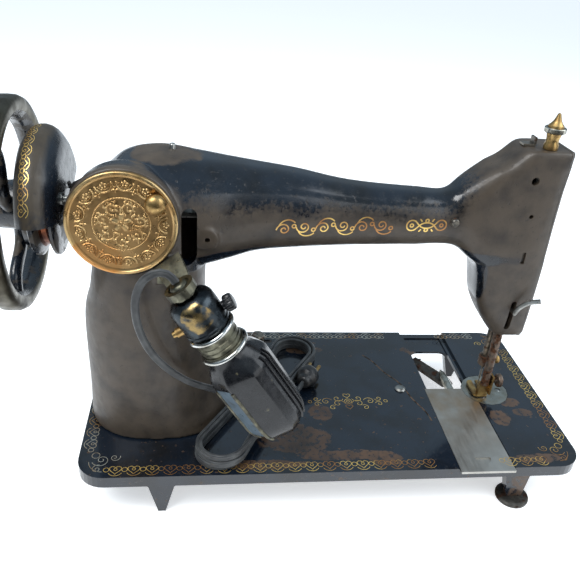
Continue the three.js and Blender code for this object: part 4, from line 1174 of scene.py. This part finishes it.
def lamp_turned_pieces():
    """Turned pieces on the lamp's axis: name, how far down it, profile, sides, finish, slot, CAD node."""
    return [
        ("lamp_socket_shell", 7, [
            (0, 8), (0.6, 9.4), (1.4, 10.8), (2.6, 12.6), (4, 13.9), (6, 14.8), (9, 15), (22.6, 15),
            (23.2, 15.5), (24.6, 15.5), (25.2, 15), (26.7, 14.2)], 96, "socket", "nickel", "lamp_socket"),
        ("lamp_collar", -3, [
            (0, 3.4), (0.3, 4.6), (1.4, 5.6), (2.8, 6), (3.2, 7), (5.6, 7), (5.9, 6.3), (7, 6.3), (7.4, 7),
            (9.7, 7)], 72, "pewter", "pewter", "lamp_cord_collar"),
        ("lamp_fitter_band", 36, [
            (-1.8, 14.6), (0.2, 14.6), (0.8, 14.2), (4.6, 14.2), (5, 13.7), (5.6, 13.7), (6, 14.2),
            (8.4, 14.2), (8.8, 13.6), (9.4, 13.6), (9.8, 14.2), (11.6, 14.2), (12, 13.6), (12.6, 13.6),
            (13, 14.6), (17, 14.6)], 96, "pewter", "pewter", "lamp_shade_fitter"),
    ]


def add_socket():
    for name, down, profile, sides, finish, slot, node in lamp_turned_pieces():
        ride(lathe(name, on_lamp(down), LAMP_DOWN, profile, PAINT[finish], sides), "frame", slot, node)
    tab = combined([rod_shape(on_lamp(27, -13), on_lamp(27, -19.5), 3.2, 32),
                    rod_shape(on_lamp(27, -19.5), on_lamp(27, -22), 2.2, 32)])
    ride(mesh_object("lamp_socket_tab", *tab, PAINT["brass"]), "frame", "nickel")
    beads = combined([lathe_shape(on_lamp(down), LAMP_DOWN, [
        (0, 14.6), (0.2, high - 0.9), (0.9, high - 0.2), (1.6, high), (2.3, high - 0.2), (3, high - 0.9),
        (3.2, 14.6)], 96) for down, high in ((34.1, 16.4), (49.7, 17))])
    ride(mesh_object("lamp_fitter_beads", *beads, PAINT["chrome"], 50), "frame", "pewter")


def add_lamp_knob():
    """The switch's round knob with fine ribs."""
    sides, ribs = 144, 18
    rows = [(0, 3.0, 0), (1.6, 3.0, 0), (1.8, 5.0, 0.2), (2.4, 5.6, 0.5), (6.4, 5.6, 0.5), (7.2, 4.9, 0.2),
            (7.6, 3.6, 0)]
    shape = ribbed_shape(on_lamp(25, 15.3), LAMP_SIDE, rows, sides,
                         lambda i: 0.5 - 0.5 * math.cos(2 * math.pi * ribs * i / sides))
    knob = mesh_object("lamp_switch_ribbed", *shape, PAINT["shade"], 40)
    ride(knob, "lamp_switch", "lamp_black", "lamp_switch_knob")


# ---- Head, bars and small turned pieces ----

def turned_pieces():
    """Finer copies of small round CAD nodes that show: node, body, slot, start, axis, profile, finish."""
    return [
        ("bed_dome_screw", "frame", "bright_steel", (-65.5, -3, -7), UP,
         [(0, 2.2), (7.1, 2.2), (7.15, 4.5), (7.9, 4.6), (8.8, 3.8), (9.4, 2.6), (9.7, 1), (9.75, 0.1)],
         "steel"),
        ("bed_rear_foot", "frame", "dark_iron", (-139, 80, FLOOR), UP,
         [(0, 11.5), (0.6, 12.3), (1.4, 12.5), (2.6, 12.5), (3.4, 11.8), (4, 10)], "iron"),
        ("arm_rear_screw", "frame", "bright_steel", (-73, 13.5, 162), REAR,
         [(0, 2.9), (5.2, 2.9), (5.8, 2.3)], "tarnished"),
        ("spool_pin", "frame", "bright_steel", (120, 0, 193), UP,
         [(0, 2), (11, 2), (11.7, 1.6), (12, 1)], "steel"),
        ("needle_bar", "needle_bar_set", "bright_steel", (BAR_X, NEEDLE_Y, 26), UP,
         [(0, 2.8), (0.6, 3.2), (120, 3.2), (120.1, 4.7), (128, 4.7), (128.1, 3.2), (149.4, 3.2), (150, 2.8)],
         "tarnished"),
        ("needle_clamp_screw", "needle_clamp_screw", "brass", (BAR_X - 5.5, NEEDLE_Y, 32), OUT,
         [(0, 1.8), (3, 1.8), (3.1, 3.3), (3.6, 3.6), (5.6, 3.6), (6.3, 3.2), (6.6, 2.4)], "brass"),
        ("presser_bar", "presser_set", "rusty_steel", (BAR_X, PRESSER_Y, 14), UP,
         [(0, 3), (0.5, 3.4), (128, 3.4), (128.1, 5.2), (136, 5.2), (136.1, 3.4), (175.5, 3.4), (176, 3)],
         "rusty"),
        ("presser_foot_thumb_screw", "presser_foot_screw", "rusty_steel", (BAR_X - 5.7, PRESSER_Y, 18), OUT,
         [(0, 2), (4, 2), (4.1, 5.2), (4.7, 5.6), (7, 5.6), (7.7, 4.8), (8, 3.6)], "rusty"),
        ("pressure_screw", "pressure_screw_set", "brass", (BAR_X, PRESSER_Y, 199.4), UP,
         [(0, 3.9), (14.9, 3.9), (15, 4.9), (18, 4.9), (19.5, 4.1), (22, 4.3), (25, 4.9), (29, 5.4),
          (31, 5.0), (32, 3.9), (34, 2.6), (36.5, 1.7), (38.4, 1.1), (39, 0.3)], "brass"),
    ]


def add_turned_pieces():
    for node, body, slot, start, axis, profile, finish in turned_pieces():
        ride(lathe(f"{node}_turned", start, axis, profile, PAINT[finish], 48), body, slot, node)
    screw = lathe("plate_screw_turned", (-151, -1, -2.2), UP, [(0, 2), (1.8, 2), (2, 1.7)],
                  PAINT["steel"], 48)
    ride(screw, "frame", "bright_steel", "needle_plate_screw")
    profile = [(0, 5.6), (0, 6.7), (0.5, 7.2), (3, 7.2), (3.5, 6.7), (3.5, 5.6)]
    collar = mesh_object("pressure_screw_ring", *ring_shape((BAR_X, PRESSER_Y, 225.5), UP, profile, 64),
                         PAINT["nickel"])
    ride(collar, "pressure_screw_set", "nickel", "pressure_screw_collar")


# ---- Gold transfers ----

TRANSFER_WIDTH = 0.45
TRANSFER_LIFT = 0.06


def ribbon(points, width):
    """A flat strip along a polyline in the plane."""
    points = [Vector(point) for point in points]
    left, right = [], []
    for i, point in enumerate(points):
        direction = points[min(i + 1, len(points) - 1)] - points[max(i - 1, 0)]
        if direction.length == 0:
            direction = Vector((1, 0))
        side = Vector((-direction.y, direction.x)).normalized() * width / 2
        left.append(point + side)
        right.append(point - side)
    return left, right


def transfer(name, lines, place, finish, slot="brass", width=TRANSFER_WIDTH):
    """Thin strips laid on a surface: place turns a point of the pattern into one on the surface."""
    points, faces = [], []
    for line in lines:
        left, right = ribbon(line, width)
        first = len(points)
        for a, b in zip(left, right):
            points += [place(*a), place(*b)]
        for i in range(len(left) - 1):
            k = first + 2 * i
            faces.append((k, k + 1, k + 3, k + 2))
    return ride(mesh_object(name, points, faces, PAINT[finish], 60), "frame", slot)


def heart(u, v, size):
    """A heart with its point towards plus v."""
    points, scale = [], 0.03 * size
    for i in range(25):
        t = 2 * math.pi * i / 24
        along = 13 * math.cos(t) - 5 * math.cos(2 * t) - 2 * math.cos(3 * t) - math.cos(4 * t)
        points.append((u + scale * 16 * math.sin(t) ** 3, v - scale * along))
    return points


def chain(length, pitch=12.4):
    """Hearts and circles in a row over a line of scallops, centred on zero."""
    count = int(length / pitch)
    lines = []
    for i in range(count):
        u = (i - (count - 1) / 2) * pitch
        lines.append(heart(u, 0, 8.6))
        lines.append(arc_points(u, -0.3, 1.1, 0, 360, 10))
        lines.append(arc_points(u + pitch / 2, 0, 1.9, 0, 360, 14))
        lines.append(arc_points(u, 0.4, 5.2, 30, 150, 12))
    return lines


def corner_scrolls():
    """Curlicues that fill a corner of the border."""
    return [spiral(0, 0, 200, 1.6, 7.5, 1.2), spiral(9.5, 2.5, 20, -1.4, 4.6, 0.9),
            spiral(-2.5, -9.5, 70, 1.4, 4.6, 0.9), arc_points(-5, 5, 3.0, 0, 360, 16),
            arc_points(2, -1, 11.5, 185, 268, 18)]


def mirrored(lines, flip_u=1, flip_v=1):
    return [[(flip_u * u, flip_v * v) for u, v in line] for line in lines]


def medallion():
    """A leafy ornament for the middle of the bed, alike on both sides."""
    scrolls = ((9, 3, 180, 1.3, 6.2), (9, -4, 170, -1.2, 5.2), (19, 0, 200, 1.4, 5.4),
               (27, 3.5, 190, 1.2, 3.6), (27, -3.5, 170, -1.2, 3.6), (14, 8, 230, 1.2, 3.6))
    side = [spiral(*scroll, 0.8) for scroll in scrolls] + [arc_points(33, 0, 1.6, 0, 360, 12)]
    middle = [arc_points(0, 0, 3.0, 0, 360, 18), arc_points(0, 0, 1.3, 0, 360, 10)]
    return middle + mirrored(side, -1) + side + [heart(0, 7, 6.5), heart(0, -7.5, 6.5)]


def two_loops():
    """The ornament at the end of the arm: two loops tied by crossing curves, with small rings."""
    tie = [[(6.9, 2.2), (5.4, 0.6), (3.6, -1.0), (1.8, -1.7), (0, -1.9)],
           [(3.4, 2.6), (4.0, 3.6), (4.8, 4.2)]]
    side = [arc_points(9.6, 0, 3.5, -140, 140, 20), arc_points(9.8, 0, 1.1, 0, 360, 10)]
    side += tie + mirrored(tie, 1, -1)
    middle = [arc_points(0, 3.1, 1.1, 0, 360, 12), arc_points(0, -3.1, 1.1, 0, 360, 12)]
    return middle + mirrored(side, -1) + side


def long_scroll(length, pitch=13.5):
    """A row of linked scrolls along the arm, every other one upside down."""
    lines = []
    count = int(length / pitch)
    for i in range(count):
        u = (i - (count - 1) / 2) * pitch
        link = [spiral(u, 0.8, 180, 1.5, 5.2, 1.1), arc_points(u + pitch / 2, -1.6, 1.3, 0, 360, 12),
                arc_points(u + 2.5, 0, 6.4, 200, 320, 14)]
        lines += mirrored(link, 1, 1 if i % 2 else -1)
    return lines


def on_bed(u, v):
    return (u, v, TRANSFER_LIFT)


SCRATCH_STEPS = 24


def long_scratch(start, end, bow, waver):
    """A scratch from start to end that bows to one side and wavers about its course."""
    run_x, run_y = end[0] - start[0], end[1] - start[1]
    length = math.hypot(run_x, run_y)
    course = []
    for step in range(SCRATCH_STEPS + 1):
        part = step / SCRATCH_STEPS
        aside = bow * math.sin(math.pi * part) + waver * math.sin(5 * math.pi * part)
        course.append((start[0] + run_x * part - run_y / length * aside,
                       start[1] + run_y * part + run_x / length * aside))
    return course


def add_bed_transfers():
    """Borders on all four sides with breaks at the slide plate, corner scrolls, a medallion and a scratch."""
    edge = 7.4
    side_x, side_y = HALF_LENGTH - edge, HALF_WIDTH - edge
    for name, sign, finish in (("rear", 1, "gold"), ("front", -1, "silver")):
        for part, length, middle in (("", 236, 46), ("_end", 38, -140)):
            transfer(f"bed_border_{name}{part}", chain(length),
                     lambda u, v, sign=sign, middle=middle: on_bed(u + middle, sign * (side_y + v)), finish)
    for name, sign, finish in (("right", 1, "silver"), ("left", -1, "gold")):
        transfer(f"bed_border_{name}", chain(128),
                 lambda u, v, sign=sign: on_bed(sign * (side_x + v), u), finish)
    for row, sy in (("rear", 1), ("front", -1)):
        for column, sx, finish in (("right", 1, "silver"), ("left", -1, "gold")):
            transfer(f"bed_corner_{row}_{column}", corner_scrolls(),
                     lambda u, v, sx=sx, sy=sy: on_bed(sx * (168 - 0.9 * u), sy * (72 - 0.9 * v)), finish)
    scratch = long_scratch((-43, -52), (-81, 37), bow=5, waver=1)
    transfer("bed_scratch", [scratch], on_bed, "scratch", slot="worn_japan", width=1.3)
    transfer("bed_medallion", medallion(), lambda u, v: on_bed(-18 + 0.95 * u, 12 + 0.95 * v), "gold")


def laid_on(piece, target):
    """Presses a transfer onto the surface behind it, along its depth."""
    modifier = piece.modifiers.new("laid", "SHRINKWRAP")
    modifier.target = target
    modifier.wrap_method = "PROJECT"
    modifier.use_project_y = True
    modifier.use_negative_direction = True
    modifier.use_positive_direction = False
    modifier.offset = TRANSFER_LIFT * MM
    baked(piece)


def add_arm_transfers(casting):
    before_arm, stroke = 45, 0.9
    for name, lines, x, z, size, tilt in (("arm_scroll", long_scroll(82), 13, 158.2, 1.0, 0.02),
                                          ("arm_two_loops", two_loops(), -53, 159.5, 1.1, 0.0)):
        def place(u, v, x=x, z=z, size=size, tilt=tilt):
            return (x - size * u, before_arm, z + size * (v + tilt * u))
        laid_on(transfer(name, lines, place, "gold", width=stroke), casting)


def add_guard_transfer():
    def place(u, v):
        return on_guard(21.5 - v * 0.7, 66 + u, 0.12)
    transfer("guard_chain", chain(110, 10.5), place, "gold", width=0.5)


# ---- CAD nodes that stay, with better edges and materials ----

KEPT_MATERIALS = {
    "bed": "bed", "face_plate": "casting", "face_plate_screw": "steel", "belt_guard_screw": "steel",
    "arm_shaft": "steel", "needle_bar_cam": "iron", "connecting_rod": "iron", "needle": "steel",
    "needle_clamp": "rusty", "take_up_lever": "nickel", "take_up_pivot": "steel", "presser_spring": "steel",
    "top_thread_guide": "tarnished", "presser_foot": "brass", "presser_lifter": "steel",
    "tension_stud": "steel", "tension_disc_inner": "nickel", "tension_disc_outer": "nickel",
    "tension_spring": "steel", "tension_nut": "nickel", "needle_plate": "plate", "slide_plate_rear": "slide",
    "feed_dog": "rusty", "feed_bar": "iron", "feed_rock_shaft": "iron",
    "rock_shaft_centre_screw_left": "iron", "rock_shaft_centre_screw_right": "iron", "shuttle_lever": "iron",
    "shuttle_lever_pivot": "steel", "shuttle": "nickel", "stitch_regulator_screw": "tarnished",
    "lamp_bracket": "pewter", "lamp_bulb": "glass",
}
BEVELLED = {"bed": 1.4, "slide_plate_rear": 0.35, "face_plate": 0.5, "lamp_bracket": 0.8, "presser_foot": 0.4}


def dress_kept_nodes():
    """The CAD nodes that nothing replaces get a material, smooth shading and, where listed, a bevel."""
    for node, material in KEPT_MATERIALS.items():
        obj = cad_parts[node]
        obj.data.materials.clear()
        obj.data.materials.append(PAINT[material])
        smooth(obj.data, 40)
        if node in BEVELLED:
            bevel = obj.modifiers.new("edges", "BEVEL")
            bevel.width = BEVELLED[node] * MM
            bevel.segments = 3
            bevel.limit_method = "ANGLE"
            bevel.angle_limit = math.radians(50)
            bevel.harden_normals = True


# ---- Floor and light ----

FLOOR_REACH = 12000
SKY, GROUND = (0.66, 0.84, 1.0, 1.0), (0.1, 0.11, 0.12, 1.0)
LIT = (0, 0, 80)  # what the lamps aim at


def add_floor():
    """A pale floor that ends below the camera."""
    corners = [(x, y, FLOOR) for x, y in (
        (-FLOOR_REACH, -FLOOR_REACH), (FLOOR_REACH, -FLOOR_REACH), (FLOOR_REACH, CAMERA_EYE[1]),
        (-FLOOR_REACH, CAMERA_EYE[1]))]
    mesh_object("floor", corners, [(0, 1, 2, 3)], PAINT["floor"])


def add_area_light(name, place, size, power, color=(1, 1, 1)):
    data = bpy.data.lights.new(name, "AREA")
    data.size = size * MM
    data.energy = power
    data.color = color
    light = bpy.data.objects.new(name, data)
    scene.collection.objects.link(light)
    light.location = at(*place)
    light.rotation_mode = "QUATERNION"
    light.rotation_quaternion = (at(*LIT) - at(*place)).to_track_quat("-Z", "Y")


def add_light():
    """A world that is pale blue above and dark below, and three soft lamps."""
    world = bpy.data.worlds.new("studio")
    scene.world = world
    world.use_nodes = True
    nodes, links = world.node_tree.nodes, world.node_tree.links
    background = nodes["Background"]
    background.inputs["Strength"].default_value = 0.6
    place = nodes.new("ShaderNodeTexCoord")
    split = nodes.new("ShaderNodeSeparateXYZ")
    ramp = nodes.new("ShaderNodeMapRange")
    ramp.inputs["From Min"].default_value = -0.1
    ramp.inputs["From Max"].default_value = 0.5
    blend = nodes.new("ShaderNodeMix")
    blend.data_type = "RGBA"
    blend.inputs["A"].default_value = GROUND
    blend.inputs["B"].default_value = SKY
    links.new(place.outputs["Generated"], split.inputs[0])
    links.new(split.outputs["Z"], ramp.inputs["Value"])
    links.new(ramp.outputs["Result"], blend.inputs["Factor"])
    links.new(blend.outputs["Result"], background.inputs["Color"])
    add_area_light("key", (700, 500, 1300), 800, 20)
    add_area_light("sky", (-1200, 200, 1100), 1200, 14, (0.9, 0.95, 1.0))
    add_area_light("fill", (-900, 900, 500), 900, 4)
    scene.view_settings.view_transform = "Standard"


# ---- Build ----

add_camera()
add_cord()
casting = add_casting()
add_cover()
add_guard()
add_wheel()
add_stop_motion_knob()
add_shade()
add_shade_painted_reflection()
add_shade_bars("lamp_shade_fins", (8, 19, 30), 64, 30, 0.4, 1.25, 0.6, "shade")
add_shade_bars("lamp_shade_worn_edges", (113.5, 154, 178), 74, 26, -0.1, 1.0, 1.3, "shade_edge")
add_socket()
add_lamp_knob()
add_turned_pieces()
dress_kept_nodes()
add_bed_transfers()
add_arm_transfers(casting)
add_guard_transfer()
add_floor()
add_light()
